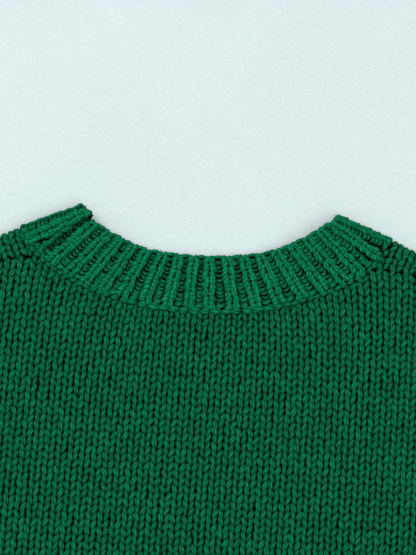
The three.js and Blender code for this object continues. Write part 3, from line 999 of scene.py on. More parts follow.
def knit_finish(name, colour, stitch, row):
    """Plain knitting as a relief in the finish, for the side that lies on the table, with painted
    shade in its hollows.
    """
    nodes = Finish(name)
    place = nodes.cloth_measures()
    slant = -1.1
    column = nodes.maths("FRACT", nodes.maths("DIVIDE", place["X"], stitch))
    off = nodes.maths("ABSOLUTE", nodes.maths("SUBTRACT", column, 0.5))
    up = nodes.maths("DIVIDE", place["Y"], row)
    grain = nodes.maths("FRACT", nodes.maths("MULTIPLY_ADD", off, slant, up))
    bulge = nodes.maths("SINE", nodes.maths("MULTIPLY", grain, math.pi))
    across = nodes.maths("SINE", nodes.maths("MULTIPLY", off, 2 * math.pi))
    height = nodes.maths("POWER", nodes.maths("MULTIPLY", bulge, across), 0.6)
    fibre = nodes.noise(1500.0, 3.0)
    # Painted shade: darker where the relief is low, between the stitches.
    factor = nodes.product(nodes.remap(height, 0.0, 0.8, 0.12, 1.0), nodes.vary(fibre, 0.12))
    nodes.paint(colour, factor, nodes.maths("MULTIPLY_ADD", fibre, 0.1, height), 0.0016)
    nodes.matt(0.1)


def rib_finish(name, colour, pitch, row):
    """Ribbing as a relief in the finish, for the sides that lie on the table, with painted shade in
    its gutters.
    """
    nodes = Finish(name)
    place = nodes.cloth_measures()
    height = nodes.product(nodes.wave(place["X"], pitch, 0), nodes.wave(place["Y"], row, 0.7))
    # Painted shade: darker where the relief is low, in the gutters between ribs.
    shade = nodes.remap(height, 0.0, 0.7, 0.15, 1.0)
    factor = nodes.product(shade, nodes.vary(nodes.noise(1500.0), 0.12))
    nodes.paint(colour, factor, height, 0.0018)
    nodes.matt(0.1)


def table_finish(name, colour):
    """A pale surface with a faint fine grain."""
    nodes = Finish(name)
    grain = nodes.noise(900.0, 3.0)
    factor = nodes.product(nodes.vary(grain, 0.055), nodes.vary(nodes.noise(9.0), 0.015))
    nodes.paint(colour, factor, grain, 0.0003, 0.5)
    nodes.fill(nodes.shader, {"Roughness": 0.85, "Specular IOR Level": 0.2})


def finish_of(kind):
    """The material of that kind, made the first time that it is asked for."""
    if kind not in bpy.data.materials:
        colours = bpy.context.scene.pullover_colours
        sizes = bpy.context.scene.pullover_sizes
        maker, *values = {
            # The loops' finish is painted shade, near-black between the stitches.
            "green_yarn": (yarn_finish, colours.yarn),
            "green_loops": (loops_shade_finish, colours.loops),
            "green_knit": (knit_finish, colours.yarn, sizes.stitch_width, sizes.row_height),
            "green_rib": (rib_finish, colours.yarn, RIB_PITCH * MM, sizes.rib_row),
            "pale_table": (table_finish, colours.table),
        }[kind]
        maker(kind, *values)
    return bpy.data.materials[kind]


def finish_piece(piece, node):
    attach(piece, "root")
    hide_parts(node)
    return piece


def cloth_piece(name, mesh, slot, node):
    """A cloth's thin shell, with the painted shade of its loops and the finish of the sides it lies
    on.
    """
    mesh.materials.append(finish_of("green_loops"))
    mesh.materials.append(finish_of("green_knit" if slot == "body_knit" else "green_rib"))
    return finish_piece(new_object(name, mesh), node)


def clear_of_table(places):
    return places[:, 2] > LEAST_HEIGHT


def strand_piece(name, strands, shapes, node, keep=clear_of_table):
    """A finished mesh of the strands that are kept, on the piece that they belong to."""
    unevenness = bpy.context.scene.pullover_sizes.unevenness
    places = strands.mesh(name, keep)
    piece = lay_strands(name, places, shapes, finish_of("green_yarn"), unevenness, SEED)
    return finish_piece(piece, node)


# Laying out the stitches

def knit_gauge(sizes):
    """The width and height of a plain stitch and the width of its yarn, in millimetres."""
    return sizes.stitch_width / MM, sizes.row_height / MM, sizes.yarn_width / MM


def wale_paths(stitch, row):
    """The back's columns of stitches, as places across at each row, and the lean at each."""
    offset, top, skewed, pulled, reach = -8.0, 272, 0.04, 0.27, 26
    count = int(2 * (body_half(WIDEST_Y) + FOLD_ARC) / stitch) + 6
    across = (np.arange(count) - (count - 1) / 2) * stitch + offset
    rows = np.arange(HEM_TOP + row / 2, top, row)
    places, leans = [], []
    for y in rows:
        below = np.maximum(back_top_line(across) - y, 0)
        pull = smooth(np.abs(across), 8, 75) * (1 - 0.75 * smooth(np.abs(across), 105, 150))
        lean = skewed * smooth(y, -150, 20) - np.sign(across) * pulled * pull * np.exp(-below / reach)
        places.append(across)
        leans.append(lean)
        across = across + lean * row
    return np.array(places), rows, np.array(leans)


def add_legs(strands, at, turns, length, row, rng, spread=1.0):
    """Both legs of each stitch, the left one full on even rows and the right one on odd rows.

    spread is how wide the column stands, as a share of its usual width.
    """
    count = len(at)
    for side in (0, 1):
        full = row % 2 == side
        width = rng.normal(1, 0.05, count)
        size = np.stack([spread * width, length * rng.normal(1, 0.03, count), width], -1)
        nudge = rng.normal(0, 0.15, (count, 3)) * np.array((0.7, 1.5, 0.6))
        moved = at + np.einsum("nij,nj->ni", turns, nudge)
        kind = side + np.where(full, 0, 2)
        strands.add(moved, turns, kind, size, rng.uniform(0, 0.6, count) + 0.1 * full)


def turned_columns():
    """Places across a body piece, from one turned edge to the other."""
    flat = SHOULDER_TIP_X - FOLD_REACH
    turned = flat + (FOLD_ARC - SEAM_GAP) * np.array((0.33, 0.66, 1.0))
    return np.concatenate([-turned[::-1], np.linspace(-flat, flat, BODY_COLUMNS), turned])


def rows_up(top, count):
    """Rows of a body piece, from the hem's ribbing to its top at each column."""
    bottom = HEM_TOP + SEAM_GAP
    return bottom + np.linspace(0, 1, count)[:, None] * (top - bottom)


def body_grid(surface, columns, rows, depth):
    """A grid over a body piece whose columns spread with the body's width."""
    full = SHOULDER_TIP_X - FOLD_REACH
    inner = np.minimum(np.abs(columns), full)
    reach = inner / full * (body_half(rows) - FOLD_REACH) + (np.abs(columns) - inner)
    return surface(np.sign(columns) * reach, rows, depth)


def tube_cloths(part, surface, rows, width_at, along, slot):
    """The cloths of a right and a left tube, each with its side and its node's name."""
    turn = np.linspace(-1, 1, TUBE_COLUMNS)
    flat = width_at(rows) / 2 - FOLD_REACH
    half = 2 * flat + 2 * FOLD_ARC
    around = turn * half
    below = smooth(np.abs(around), flat + 0.9 * FOLD_ARC, flat + 1.9 * FOLD_ARC)
    rows = np.broadcast_to(rows, around.shape)
    walls = [surface(around, rows, depth) for depth in (LOOPS_DEPTH * (1 - below), WALL)]
    under = below > 0.3
    knitted = (under[:-1, :-1] & under[1:, 1:]) | (under[:-1, 1:] & under[1:, :-1])
    for name, side in (("right", 1), ("left", -1)):
        node = f"{part}_{name}"
        outer, inner = (wall * (side, 1, 1) for wall in walls)
        round_it = turn * float(half.mean())
        mesh = wall_mesh(f"{node}_cloth", outer, inner, round_it, along, knitted)
        yield side, node, cloth_piece(f"{node}_cloth", mesh, slot, node)


def add_rib(strands, surface, centre, rows, spread, rng, kinds=(0, 1), sunk=0.0, tone_and_shade=(0.6, 1.2)):
    """One rib: two legs to each stitch, leaning together towards the free edge."""
    count = len(rows)
    for kind in kinds:
        lean = rng.normal(0, 0.07, count)
        at, turns = frames(surface, np.full(count, centre), rows, lean)
        width = rng.normal(1, 0.08, count)
        size = np.stack([spread * width, rng.normal(1, 0.04, count), width], -1)
        nudge = rng.normal((0, 0, -sunk), (0.26, 0.31, 0.16), (count, 3))
        at = at + np.einsum("nij,nj->ni", turns, nudge)
        strands.add(at, turns, kind, size, rng.uniform(*tone_and_shade, count))


def add_gutter(strands, surface, centre, rows, spread, rng, depth=2.0, girth=1.0, tone_and_shade=(0.1, 0.8)):
    """The bars between two ribs, at a depth in the cloth, darker than the ribs by default with
    painted shade.
    """
    count = len(rows)
    places = centre + rng.normal(0, 0.25, count)
    at, turns = frames(surface, places, rows + rng.normal(0, 0.2, count), rng.normal(0, 0.1, count))
    vary = rng.normal(1, (0.06, 0.16, 0.1), (count, 3))
    size = stacked(spread, girth, girth) * vary
    at = at - turns[..., 2] * (depth + rng.normal(0, 0.12, count))[:, None]
    # The bars' brightness is set below the ribs' as painted shade, since they lie deep between them.
    strands.add(at, turns, BAR, size, rng.uniform(*tone_and_shade, count))


def cast_off(surface, places, along, rng):
    """The row of stitches that closes a ribbing's free edge, one for each leg of a rib."""
    count = len(places)
    edge = Strands(0)
    at, turns = frames(surface, places + rng.normal(0, 0.3, count), np.full(count, along), 0, True)
    edge.add(at, turns, 0, rng.normal(1, 0.06, (count, 3)), rng.uniform(0.1, 0.9, count))
    return edge


def cast_off_piece(name, edge, node):
    shapes = [link_strand(f"{name}_link", 9.2, 3.5, -0.3, (4, 4))]
    return strand_piece(name, edge, shapes, node)


class PULLOVER_OT_back(bpy.types.Operator):
    """Makes the back, with its columns of plain stitches"""

    bl_idname = "pullover.back"
    bl_label = "Back"

    def execute(self, context):
        stitch, row, yarn = knit_gauge(context.scene.pullover_sizes)
        columns = turned_columns()
        rows = rows_up(back_top_line(columns) - SEAM_GAP, BACK_ROWS)
        walls = [body_grid(back_point, columns, rows, depth) for depth in (LOOPS_DEPTH, WALL)]
        along = np.linspace(HEM_TOP, ARMHOLE_TOP, BACK_ROWS)
        mesh = wall_mesh("back_cloth", *walls, columns, along)
        cloth = cloth_piece("back_cloth", mesh, "body_knit", "back_panel")
        strands = self.stitches(stitch, row)
        fine, plain = leg_shapes("fine_leg", yarn, FINE), leg_shapes("plain_leg", yarn, PLAIN)

        def near(p):
            return (np.abs(p[:, 0]) < NEAR["half_width"]) & (p[:, 1] > NEAR["bottom"])

        pieces = [
            strand_piece(name, strands, shapes, "back_panel", keep)
            for name, keep, shapes in (
                ("back_stitches_top", near, fine),
                ("back_stitches_sides", lambda p: ~near(p) & (p[:, 1] > LOW_Y), plain),
                ("back_stitches_low", lambda p: p[:, 1] <= LOW_Y, plain),
            )
        ]
        return {"FINISHED"}

    def stitches(self, stitch, row):
        """The legs of the back's stitches. The last at a seam are short, and tuck under it."""
        tuck, past_turn, short_of_armhole, least = 0.5, 3.0, -3.2, 0.45
        across, rows, leans = wale_paths(stitch, row)
        spread = np.gradient(across, axis=1) / stitch
        y = np.broadcast_to(rows[:, None], across.shape)
        number = np.broadcast_to(np.arange(len(rows))[:, None], across.shape)
        half = LEG_LENGTH / 2
        end = back_top_line(across) + np.where(np.abs(across) > SHOULDER_SEAM["x"][0], 0.0, tuck)
        turned = side_fold(y) > 0.5
        limit = body_half(y) + np.where(turned, past_turn, short_of_armhole)
        kept = (y < end) & (np.abs(across) < limit + np.where(turned, 0, 0.55 * stitch))
        across = np.clip(across, -limit, limit)
        length = np.clip((end - (y - half)) / LEG_LENGTH, least, 1)
        centre = y - half + half * length
        at, turns = frames(back_point, across[kept], centre[kept], leans[kept])
        strands = Strands()
        rng = np.random.default_rng(SEED)
        add_legs(strands, at, turns, length[kept], number[kept], rng, spread[kept])
        return strands


class PULLOVER_OT_front(bpy.types.Operator):
    """Makes the front, which lies underneath and turns over at the shoulders"""

    bl_idname = "pullover.front"
    bl_label = "Front"

    def execute(self, context):
        stitch, row, yarn = knit_gauge(context.scene.pullover_sizes)
        cloth = cloth_piece("front_cloth", self.cloth(), "body_knit", "front_panel")
        shapes = leg_shapes("shoulder_leg", yarn, FINE)
        strands = self.stitches(stitch, row)
        stitches = strand_piece("shoulder_stitches", strands, shapes, "front_panel")
        return {"FINISHED"}

    def stitches(self, stitch, row):
        """The stitches of both shoulders, counted back from the seam and round the fold."""
        before_seam, right_shift, inset, spread = 2.8, 1.1, 2.0, 1.08
        tight = 0.88 * row
        across = np.arange(120, SHOULDER_TIP_X + 20, stitch)
        reach = np.arange(0, 40, 0.5)[:, None]
        path = shoulder_point(1, across, reach)
        seam = read(SHOULDER_SEAM, "x", path[..., 0], "y")
        last = reach[(path[..., 1] < seam + before_seam).argmax(0), 0]
        number = np.arange(int((last.max() + FOLD_ARC) / tight))[:, None]
        grids = np.broadcast_arrays(across, last - number * tight, number)
        u, w, number = (grid.ravel() for grid in grids)
        strands = Strands()
        rng = np.random.default_rng(SEED + 3)
        for side in (-1, 1):

            def surface(a, b):
                return shoulder_point(side, -side * a, b)

            at, turns = frames(surface, -side * u, w + (right_shift if side > 0 else 0))
            x = np.abs(at[:, 0])
            neck = read(NECK_SIDE, "y", at[:, 1], "x")
            kept = (x > neck - inset) & (x < SHOULDER_TIP_X - inset) & (w > -FOLD_ARC)
            length = np.full(kept.sum(), tight / row)
            add_legs(strands, at[kept], turns[kept], length, number[kept], rng, spread)
        return strands

    def cloth(self):
        """The underside sheet, and a strip at each shoulder that turns over onto the back."""
        neck = NECK_BACK["seam_x"][-1]
        tip = SHOULDER_TIP_X - SEAM_GAP
        columns = np.sort(np.concatenate([turned_columns(), [-neck, neck]]))
        x, side = np.abs(columns), np.sign(columns)
        edge = np.minimum(x, tip)
        share = np.clip((x - neck) / (SHOULDER_TIP_X - neck), 0, 1)
        start = fold_line(x) - FOLD_REACH
        neckline = np.interp(x, NECK_FRONT["seam_x"][::-1], NECK_FRONT["seam_y"][::-1])
        rows = rows_up(np.where(x >= neck, start, neckline), FRONT_ROWS)
        seam_start = SHOULDER_SEAM["x"][0]
        seam_x = seam_start + share * (SHOULDER_TIP_X - seam_start)
        seam_y = read(SHOULDER_SEAM, "x", seam_x, "y") + SEAM_GAP
        walls = []
        for low, high in ((0.0, LOOPS_DEPTH), (WALL, WALL)):
            strips = [body_grid(front_point, columns, rows, low)]
            for past in FOLD_ARC * np.arange(5, -1, -1) / 3:
                risen = smooth(math.pi / 2 - fold_angle(past), -1.2, 0.3)
                depth = low + (high - low) * risen
                out = fold_out(past, depth)
                px = edge + (1 - share) * NECK_TURN[0] * out
                top = REST_HEIGHT + fold_lift(shoulder_distance(px, start))
                strip = stacked(side * px, start + out, fold_height(past, top, depth))
                strips.append(strip[None])
            for part in (0.33, 0.66, 1.0):
                px = edge * (1 - part) + seam_x * part
                py = start * (1 - part) + seam_y * part
                top = REST_HEIGHT + fold_lift(shoulder_distance(px, py))
                strips.append(stacked(side * np.minimum(px, tip), py, top - high)[None])
            walls.append(np.concatenate(strips))
        count = walls[0].shape[0]
        inside = (x[:-1] < neck + 0.1) & (x[1:] < neck + 0.1)
        gaps = np.zeros((count - 1, len(columns) - 1), bool)
        gaps[FRONT_ROWS - 1:, inside] = True
        knitted = np.zeros_like(gaps)
        knitted[:FRONT_ROWS + 1] = True
        along = np.concatenate([
            np.linspace(HEM_TOP, SHOULDER_START, FRONT_ROWS),
            SHOULDER_START + 4 * np.arange(1, count - FRONT_ROWS + 1),
        ])
        return wall_mesh("front_cloth", *walls, columns, along, knitted, gaps)


class PULLOVER_OT_sleeves(bpy.types.Operator):
    """Makes both sleeves, with their columns of plain stitches"""

    bl_idname = "pullover.sleeves"
    bl_label = "Sleeves"

    def execute(self, context):
        stitch, row, yarn = knit_gauge(context.scene.pullover_sizes)
        dense = np.linspace(0, 1, 400)
        far = lengths_along(sum(sleeve_edges(dense)) / 2)
        places = np.interp(np.arange(1.0, far[-1], row), far, dense)
        strands = self.stitches(stitch, places, far[-1])
        share = np.linspace(0.004, 1, 61)[:, None]
        for side, node, cloth in tube_cloths(
            "sleeve", sleeve_point, share, sleeve_width, share[:, 0] * far[-1], "body_knit"
        ):
            shapes = leg_shapes(f"{node}_leg", yarn, PLAIN)
            laid = strands.on(side)
            stitches = strand_piece(f"{node}_stitches", laid, shapes, node)
        return {"FINISHED"}

    def stitches(self, stitch, places, full_length):
        """The right sleeve's stitches, in rows at the places given as shares of its length."""
        wales = np.arange(-14, 15) * stitch
        u, v = (grid.ravel() for grid in np.meshgrid(wales, places))
        number = np.repeat(np.arange(len(places)), len(wales))
        kept = np.abs(u) < sleeve_width(v) / 2 - FOLD_REACH + FOLD_ARC * 1.25
        u, v, number = u[kept], v[kept], number[kept]
        step = 0.004
        stretch = np.linalg.norm(sleeve_point(u, v + step) - sleeve_point(u, v - step), axis=-1)
        length = stretch / (2 * step) / full_length
        turns = frames(lambda a, b: sleeve_point(a, -b * MM), u, -v / MM)[1]
        strands = Strands()
        rng = np.random.default_rng(SEED + 4)
        add_legs(strands, sleeve_point(u, v), turns, length, number, rng)
        return strands


class PULLOVER_OT_cuffs(bpy.types.Operator):
    """Makes both ribbed cuffs"""

    bl_idname = "pullover.cuffs"
    bl_label = "Cuffs"

    def execute(self, context):
        rng = np.random.default_rng(SEED + 5)
        strands = Strands(BAR)
        rows = -np.arange(2.0, CUFF_LENGTH - 0.5, context.scene.pullover_sizes.rib_row / MM)
        pitch = (CUFF_WIDTH[0] - 2 * FOLD_REACH) / CUFF_RIBS
        spread = pitch / RIB_PITCH

        def surface(u, v):
            return cuff_point(u, -v)

        def edge_surface(u, v):
            return cuff_point(u, -v, LOOPS_DEPTH)

        for k in range(-4, 5):
            add_rib(strands, surface, k * pitch, rows, spread, rng)
        for k in range(-5, 5):
            add_gutter(strands, surface, (k + 0.5) * pitch, rows, spread, rng)
        half = cuff_width(CUFF_LENGTH) - 2 * FOLD_REACH + 2 * FOLD_ARC
        round_edge = np.arange(-half, half, RIB_PITCH / 2)
        edge = cast_off(edge_surface, round_edge, 0.4 - CUFF_LENGTH, rng)
        along = np.linspace(SEAM_GAP, CUFF_LENGTH, 21)[:, None]
        for side, node, cloth in tube_cloths(
            "cuff", cuff_point, along, cuff_width, along[:, 0], "rib_knit"
        ):
            shapes = rib_shapes(node, PLAIN)
            stitches = strand_piece(f"{node}_stitches", strands.on(side), shapes, node)
            end = cast_off_piece(f"{node}_edge", edge.on(side), node)
        return {"FINISHED"}


class PULLOVER_OT_hem(bpy.types.Operator):
    """Makes the ribbed hem of the back and of the front"""

    bl_idname = "pullover.hem"
    bl_label = "Hem ribbing"

    def execute(self, context):
        columns = turned_columns()
        rows = np.linspace(HEM_BOTTOM, HEM_TOP, 15)[:, None] + 0 * columns
        along = rows[:, 0]
        back = [body_grid(back_point, columns, rows, depth) for depth in (LOOPS_DEPTH, WALL)]
        front = [body_grid(front_point, columns, rows, depth) for depth in (0.0, WALL)]
        rng = np.random.default_rng(SEED + 6)
        half = float(body_half(HEM_TOP)) - FOLD_REACH
        strands = self.ribs(half, context.scene.pullover_sizes.rib_row / MM, rng)
        mesh = wall_mesh("hem_back_cloth", *back, columns, along)
        cloth = cloth_piece("hem_back_cloth", mesh, "rib_knit", "hem_rib_back")
        shapes = rib_shapes("hem", PLAIN)
        stitches = strand_piece("hem_stitches", strands, shapes, "hem_rib_back")
        round_edge = np.arange(-half - 4, half + 5, RIB_PITCH / 2)
        edges = [
            cast_off_piece(name, cast_off(surface, round_edge, HEM_BOTTOM + 0.4, rng), node)
            for name, node, surface in (
                ("hem_back_edge", "hem_rib_back", lambda u, v: back_point(u, v, 1.6)),
                ("hem_front_edge", "hem_rib_front", lambda u, v: front_point(-u, v, 2.4)),
            )
        ]
        knitted = np.ones((len(along) - 1, len(columns) - 1), bool)
        mesh = wall_mesh("hem_front_cloth", *front, columns, along, knitted)
        cloth = cloth_piece("hem_front_cloth", mesh, "rib_knit", "hem_rib_front")
        return {"FINISHED"}

    def ribs(self, half, row, rng):
        """The back's ribs and gutters, turn about from one side to the other."""
        strands = Strands(BAR)
        count = round(2 * half / RIB_PITCH)
        pitch = 2 * half / count
        places = np.arange(HEM_BOTTOM + 1.5, HEM_TOP - 1.5, row)
        for k in range(count + 1):
            centre = (k - count / 2) * pitch
            add_rib(strands, back_point, centre, places, pitch / RIB_PITCH, rng)
            if k < count:
                add_gutter(strands, back_point, centre + pitch / 2, places, pitch / RIB_PITCH, rng)
        return strands


class PULLOVER_OT_neckband(bpy.types.Operator):
    """Makes the ribbed neckband and the row of stitches that links it to the body"""

    bl_idname = "pullover.neckband"
    bl_label = "Neckband"

    def execute(self, context):
        row = context.scene.pullover_sizes.rib_row / MM
        rng = np.random.default_rng(SEED + 1)
        cloth = cloth_piece("neckband_cloth", self.shell(), "rib_knit", "neckband")
        strands = Strands(BAR)
        self.ribs(strands, row, rng)
        self.gutters(strands, row, rng)
        self.join(strands, row, rng)
        shapes = rib_shapes("neckband", (6, 4), 1)
        ribs = strand_piece("neckband_stitches", strands, shapes, "neckband")
        edge = self.edge_row(rng)
        links = self.link_row(rng)
        return {"FINISHED"}

    def from_middle(self, along):
        """0 at the back of the neck and 1 at its sides."""
        return float(smooth(abs(along - BACK_BAND.length / 2), 30, 80))

    def rows_of(self, along, row):
        return np.arange(2.6, float(band_width(along)) + 1.2, row)

    def fan(self, rows):
        """How much wider the ribs stand at the seam than at the free edge."""
        return 1.07 - 0.12 * rows / 40.0

    def ribs(self, strands, row, rng):
        """The ribs, with painted shade that makes them a little darker towards the sides of the neck.
        """
        for centre, gap in zip(RIB_CENTRES, np.gradient(RIB_CENTRES)):
            if band_past(centre) >= TURN_END:
                continue
            rows = self.rows_of(centre, row)
            # Painted shade: the ribs' brightness is lowered towards the sides of the neck.
            side_shade = 0.15 * self.from_middle(centre)
            tone_and_shade = (0.6 - side_shade, 1.2 - side_shade)
            spread = self.fan(rows) * (gap / RIB_PITCH)
            add_rib(strands, neckband_point, centre, rows, spread, rng, tone_and_shade=tone_and_shade)

    def gutters(self, strands, row, rng):
        """The gutters: shallow near the seam, deeper above, darker than the ribs with painted shade,
        and lighter at the neck's sides, where that painted shade is weaker.
        """
        for gutter, gap in zip(GUTTERS, GUTTER_GAPS):
            joined = abs(gutter - BAND_JOIN["at"]) < 4
            gutter = BAND_JOIN["at"] if joined else gutter
            rows = self.rows_of(gutter, row)[1:] - 0.2 * row
            near = 1 - smooth(rows, 2, 24)
            aside = self.from_middle(gutter)
            # The bars' brightness is set below the ribs' as painted shade in the gutter, and raised
            # at the neck's sides.
            spread, tone_and_shade = self.fan(rows) * gap / RIB_PITCH, (0.2 + 0.3 * aside, 1.0 + 0.3 * aside)
            depth = 2.5 - 1.5 * near - 0.7 * aside * (1 - near)
            girth = 1.1 + 0.33 * near + 0.18 * aside * (1 - near)
            if joined:
                # At the join the bars are set very dark: painted shade in the turned-in recess.
                spread, tone_and_shade, depth = 0.8 * spread, (-0.8, 0.3), 1.7
            elif not 0 < gutter < 233:
                depth = depth - 1.2
            if band_past(gutter) > FOLD_ARC:
                spread = 0.6 * spread
            add_gutter(strands, neckband_point, gutter, rows, spread, rng, depth, girth, tone_and_shade)

    def join(self, strands, row, rng):
        """The turned-in edge where the band's ends meet, and the small uneven stitches there,
        darkened with painted shade.
        """
        turned = BAND_JOIN["at"] - 2.3
        rows = self.rows_of(turned, row)
        spread = self.fan(rows)
        # The turned-in rib is set dark: painted shade where it turns down into the join.
        add_rib(strands, neckband_point, turned, rows, spread, rng, (0,), 0.6, (-0.5, 0.6))
        count = 34
        along, up = rng.uniform(-3, 16, count), rng.uniform(0.5, 10, count)
        at, turns = frames(neckband_point, along, up, rng.normal(0, 0.8, count))
        at = at + turns[..., 2] * rng.uniform(-1.2, 0.2, count)[:, None]
        size = rng.uniform(0.5, 0.85, (count, 3))
        # These small stitches run dark in part as painted shade in the sunken join, and vary at
        # random.
        strands.add(at, turns, rng.integers(0, 2, count), size, rng.uniform(-0.4, 0.8, count))

    def edge_row(self, rng):
        """The stitches of the free edge: a full one over each gutter and a slight one over a rib."""
        strands = Strands()
        rib_gaps = np.gradient(RIB_CENTRES)
        for kind, places, gaps, at_join, below_edge, proud in (
            (0, GUTTERS, GUTTER_GAPS, 6.4, 1.4, 0.6),
            (1, RIB_CENTRES, rib_gaps, 9.4, 1.9, 0.2),
        ):
            plain = (np.abs(places - BAND_JOIN["at"]) > 4) & (band_past(places) < TURN_END)
            places = np.append(places[plain] + rng.normal(0, 0.3, plain.sum()), at_join)
            gaps = np.append(gaps[plain], 0.85 * RIB_PITCH)
            count = len(gaps)
            up = band_width(places) - below_edge + rng.normal(0, 0.2, count)
            at, turns = frames(neckband_point, places, up, 0, True)
            size = stacked(gaps / RIB_PITCH, 1.0, 1.0)
            strands.add(at + turns[..., 2] * proud, turns, kind, size, rng.uniform(0.3, 1, count))
        shapes = [
            link_strand("edge_link_0", 9.8, 3.2, 0.9, (6, 7)),
            link_strand("edge_link_1", 7.6, 2.7, 0.3, (6, 7)),
        ]
        return strand_piece("neckband_edge", strands, shapes, "neckband")

    def link_row(self, rng):
        """The linked stitches along the seam between the neckband and the body."""
        length = BACK_BAND.length
        dense = np.linspace(-2, length + 2, 600)
        far = lengths_along(BACK_BAND.read(np.clip(dense, 0, length))[1])
        away = smooth(np.abs(dense - length / 2), 30, 65)
        pitch = LINK_PITCH * (1 - 0.3 * away)
        number = np.concatenate([[0], np.cumsum(np.diff(far) / pitch[1:])])
        places = np.interp(np.arange(0.4, number[-1] - 0.3), number, dense)
        finer = 1 - 0.3 * np.interp(places, dense, away)
        count = len(places)
        places = places + rng.normal(0, 0.3, count)
        at, turns = frames(neckband_point, places, np.full(count, 0.2), 0, True)
        size = np.full((count, 3), 0.85)
        size[:, :2] = rng.normal(1, 0.07, (count, 2)) * finer[:, None]
        strands = Strands()
        strands.add(at + turns[..., 2] * 0.7, turns, 0, size, rng.uniform(0.1, 0.7, count))
        count = len(GUTTERS)
        feet = GUTTERS + rng.normal(0, 0.3, count)
        up, lean = rng.normal(3.5, 0.3, count), rng.normal(0, 0.15, count)
        at, turns = frames(neckband_point, feet, up, lean, True)
        size = rng.normal(0.95, 0.08, (count, 3))
        strands.add(at + turns[..., 2] * 0.4, turns, 1, size, rng.uniform(0.5, 1.2, count))
        shapes = [
            link_strand("link_0", 9.4, 4.6, -0.8, (6, 7)),
            link_strand("link_1", 7.8, 3.1, -0.7, (6, 7)),
        ]
        return strand_piece("neck_linking", strands, shapes, "neckband")

    def shell(self):
        """The band's closed ring of cloth, over the back and round underneath."""
        length = BACK_BAND.length
        turning = np.linspace(0, FOLD_ARC * 2, 13)[1:-1]
        places = [(along, True) for along in (*np.linspace(0, length, 240), *(length + turning))]
        places += [(along, False) for along in np.linspace(0, FRONT_BAND.length, 60)]
        places += [(along, True) for along in -turning[::-1]]
        shares = np.array((0, 0.25, 0.5, 0.75, 0.93, 1, 1, 0.93, 0.5, 0))
        outside = np.array((1, 1, 1, 1, 1, 0.7, 0.2, 0, 0, 0))
        rings = []
        for along, on_back in places:
            if on_back:
                turned = float(smooth(band_past(along), FOLD_ARC * 0.8, FOLD_ARC * 2))
                near = np.abs(RIB_CENTRES - along).min() / (RIB_PITCH / 2)
                crest = 1.3 * (1 - float(smooth(near, 0.35, 0.8)))
                depth = WALL + ((LOOPS_DEPTH - crest) * (1 - turned) - WALL) * outside
                reach = shares * (float(band_width(along)) - 0.9)
                rings.append(band_at(np.full(len(shares), along), reach, depth))
            else:
                edge, seam = FRONT_BAND.read(along)
                flat = seam + (edge - seam) * shares[:, None]
                rings.append(np.concatenate([flat, (WALL * (1 - outside))[:, None]], -1))
        above = [on_back and band_past(along) < 1.4 * FOLD_ARC for along, on_back in places]
        return loop_mesh("neckband_cloth", np.array(rings), outside, above)


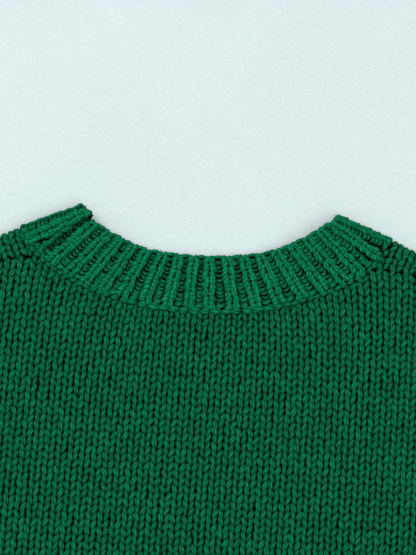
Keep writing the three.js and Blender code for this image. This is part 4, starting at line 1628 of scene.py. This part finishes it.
class PULLOVER_OT_stage(bpy.types.Operator):
    """Makes the pale table, the soft lights and the camera"""

    bl_idname = "pullover.stage"
    bl_label = "Stage"

    def execute(self, context):
        scene = context.scene
        self.camera(scene)
        mesh = bpy.data.meshes.new("table_top")
        half, drop = 3.0, -0.0004
        corners = [(x * half, y * half, drop) for x, y in ((-1, -1), (1, -1), (1, 1), (-1, 1))]
        mesh.from_pydata(corners, [], [(0, 1, 2, 3)])
        mesh.materials.append(finish_of("pale_table"))
        new_object("table_top", mesh)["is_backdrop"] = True
        world = bpy.data.worlds.new("studio")
        world.use_nodes = True
        sky = world.node_tree.nodes["Background"]
        sky.inputs["Color"].default_value = (0.95, 0.98, 1.0, 1)
        sky.inputs["Strength"].default_value = 0.45
        scene.world = world
        self.softbox("key_light", (-0.9, 1.1, 2.3), 1.6, 36)
        self.softbox("fill_light", (1.1, -0.5, 2.2), 1.8, 18)
        scene.view_settings.view_transform = "Standard"
        return {"FINISHED"}

    def softbox(self, name, place, size, power):
        light = bpy.data.lights.new(name, "AREA")
        light.size = size
        light.energy = power
        lamp = new_object(name, light)
        lamp.location = place
        aim = Vector((0, 0.2, 0)) - Vector(place)
        lamp.rotation_euler = aim.to_track_quat("-Z", "Y").to_euler()

    def camera(self, scene):
        """Looks down at the back of the neck from 80 degrees, turned two degrees."""
        target = Vector((0.0023, 0.258, 0.009))
        distance, elevation, roll = 1.1, math.radians(80), math.radians(2)
        back = Vector((0, -math.cos(elevation), math.sin(elevation)))
        level = Vector((1, 0, 0))
        upward = back.cross(level)
        right = level * math.cos(roll) + upward * math.sin(roll)
        up = upward * math.cos(roll) - level * math.sin(roll)
        data = bpy.data.cameras.new("camera")
        picture_width, picture_height, sensor = 416, 555, 36.0
        view_width = 0.2912
        data.sensor_width = sensor
        data.lens = sensor * distance / view_width * picture_width / picture_height
        camera = new_object("camera", data)
        place = Matrix((right, up, back)).transposed().to_4x4()
        place.translation = target + back * distance
        camera.matrix_world = place
        data.clip_start, data.clip_end = 0.05, 20
        scene.camera = camera


OPERATORS = (
    PULLOVER_OT_stage,
    PULLOVER_OT_back,
    PULLOVER_OT_front,
    PULLOVER_OT_sleeves,
    PULLOVER_OT_cuffs,
    PULLOVER_OT_hem,
    PULLOVER_OT_neckband,
)


class PULLOVER_PT_panel(bpy.types.Panel):
    """Lists the pullover's sizes, colours and pieces"""

    bl_label = "Pullover"
    bl_idname = "PULLOVER_PT_panel"
    bl_space_type = "VIEW_3D"
    bl_region_type = "UI"
    bl_category = "Pullover"

    def draw(self, context):
        for group in (context.scene.pullover_sizes, context.scene.pullover_colours):
            for name in group.__annotations__:
                self.layout.prop(group, name)
        for operator in OPERATORS:
            self.layout.operator(operator.bl_idname)


CLASSES = (PulloverSizes, PulloverColours, *OPERATORS, PULLOVER_PT_panel)


def register():
    for kind in CLASSES:
        bpy.utils.register_class(kind)
    bpy.types.Scene.pullover_sizes = bpy.props.PointerProperty(type=PulloverSizes)
    bpy.types.Scene.pullover_colours = bpy.props.PointerProperty(type=PulloverColours)


def unregister():
    del bpy.types.Scene.pullover_colours
    del bpy.types.Scene.pullover_sizes
    for kind in reversed(CLASSES):
        bpy.utils.unregister_class(kind)


def main():
    register()
    bpy.ops.pullover.stage()
    bpy.ops.pullover.back()
    bpy.ops.pullover.front()
    bpy.ops.pullover.sleeves()
    bpy.ops.pullover.cuffs()
    bpy.ops.pullover.hem()
    bpy.ops.pullover.neckband()
    sizes = {"cad": CAD_BOX, "visual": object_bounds()}
    {name: [list(corner) for corner in box] for name, box in sizes.items()}


if __name__ == "__main__":
    main()
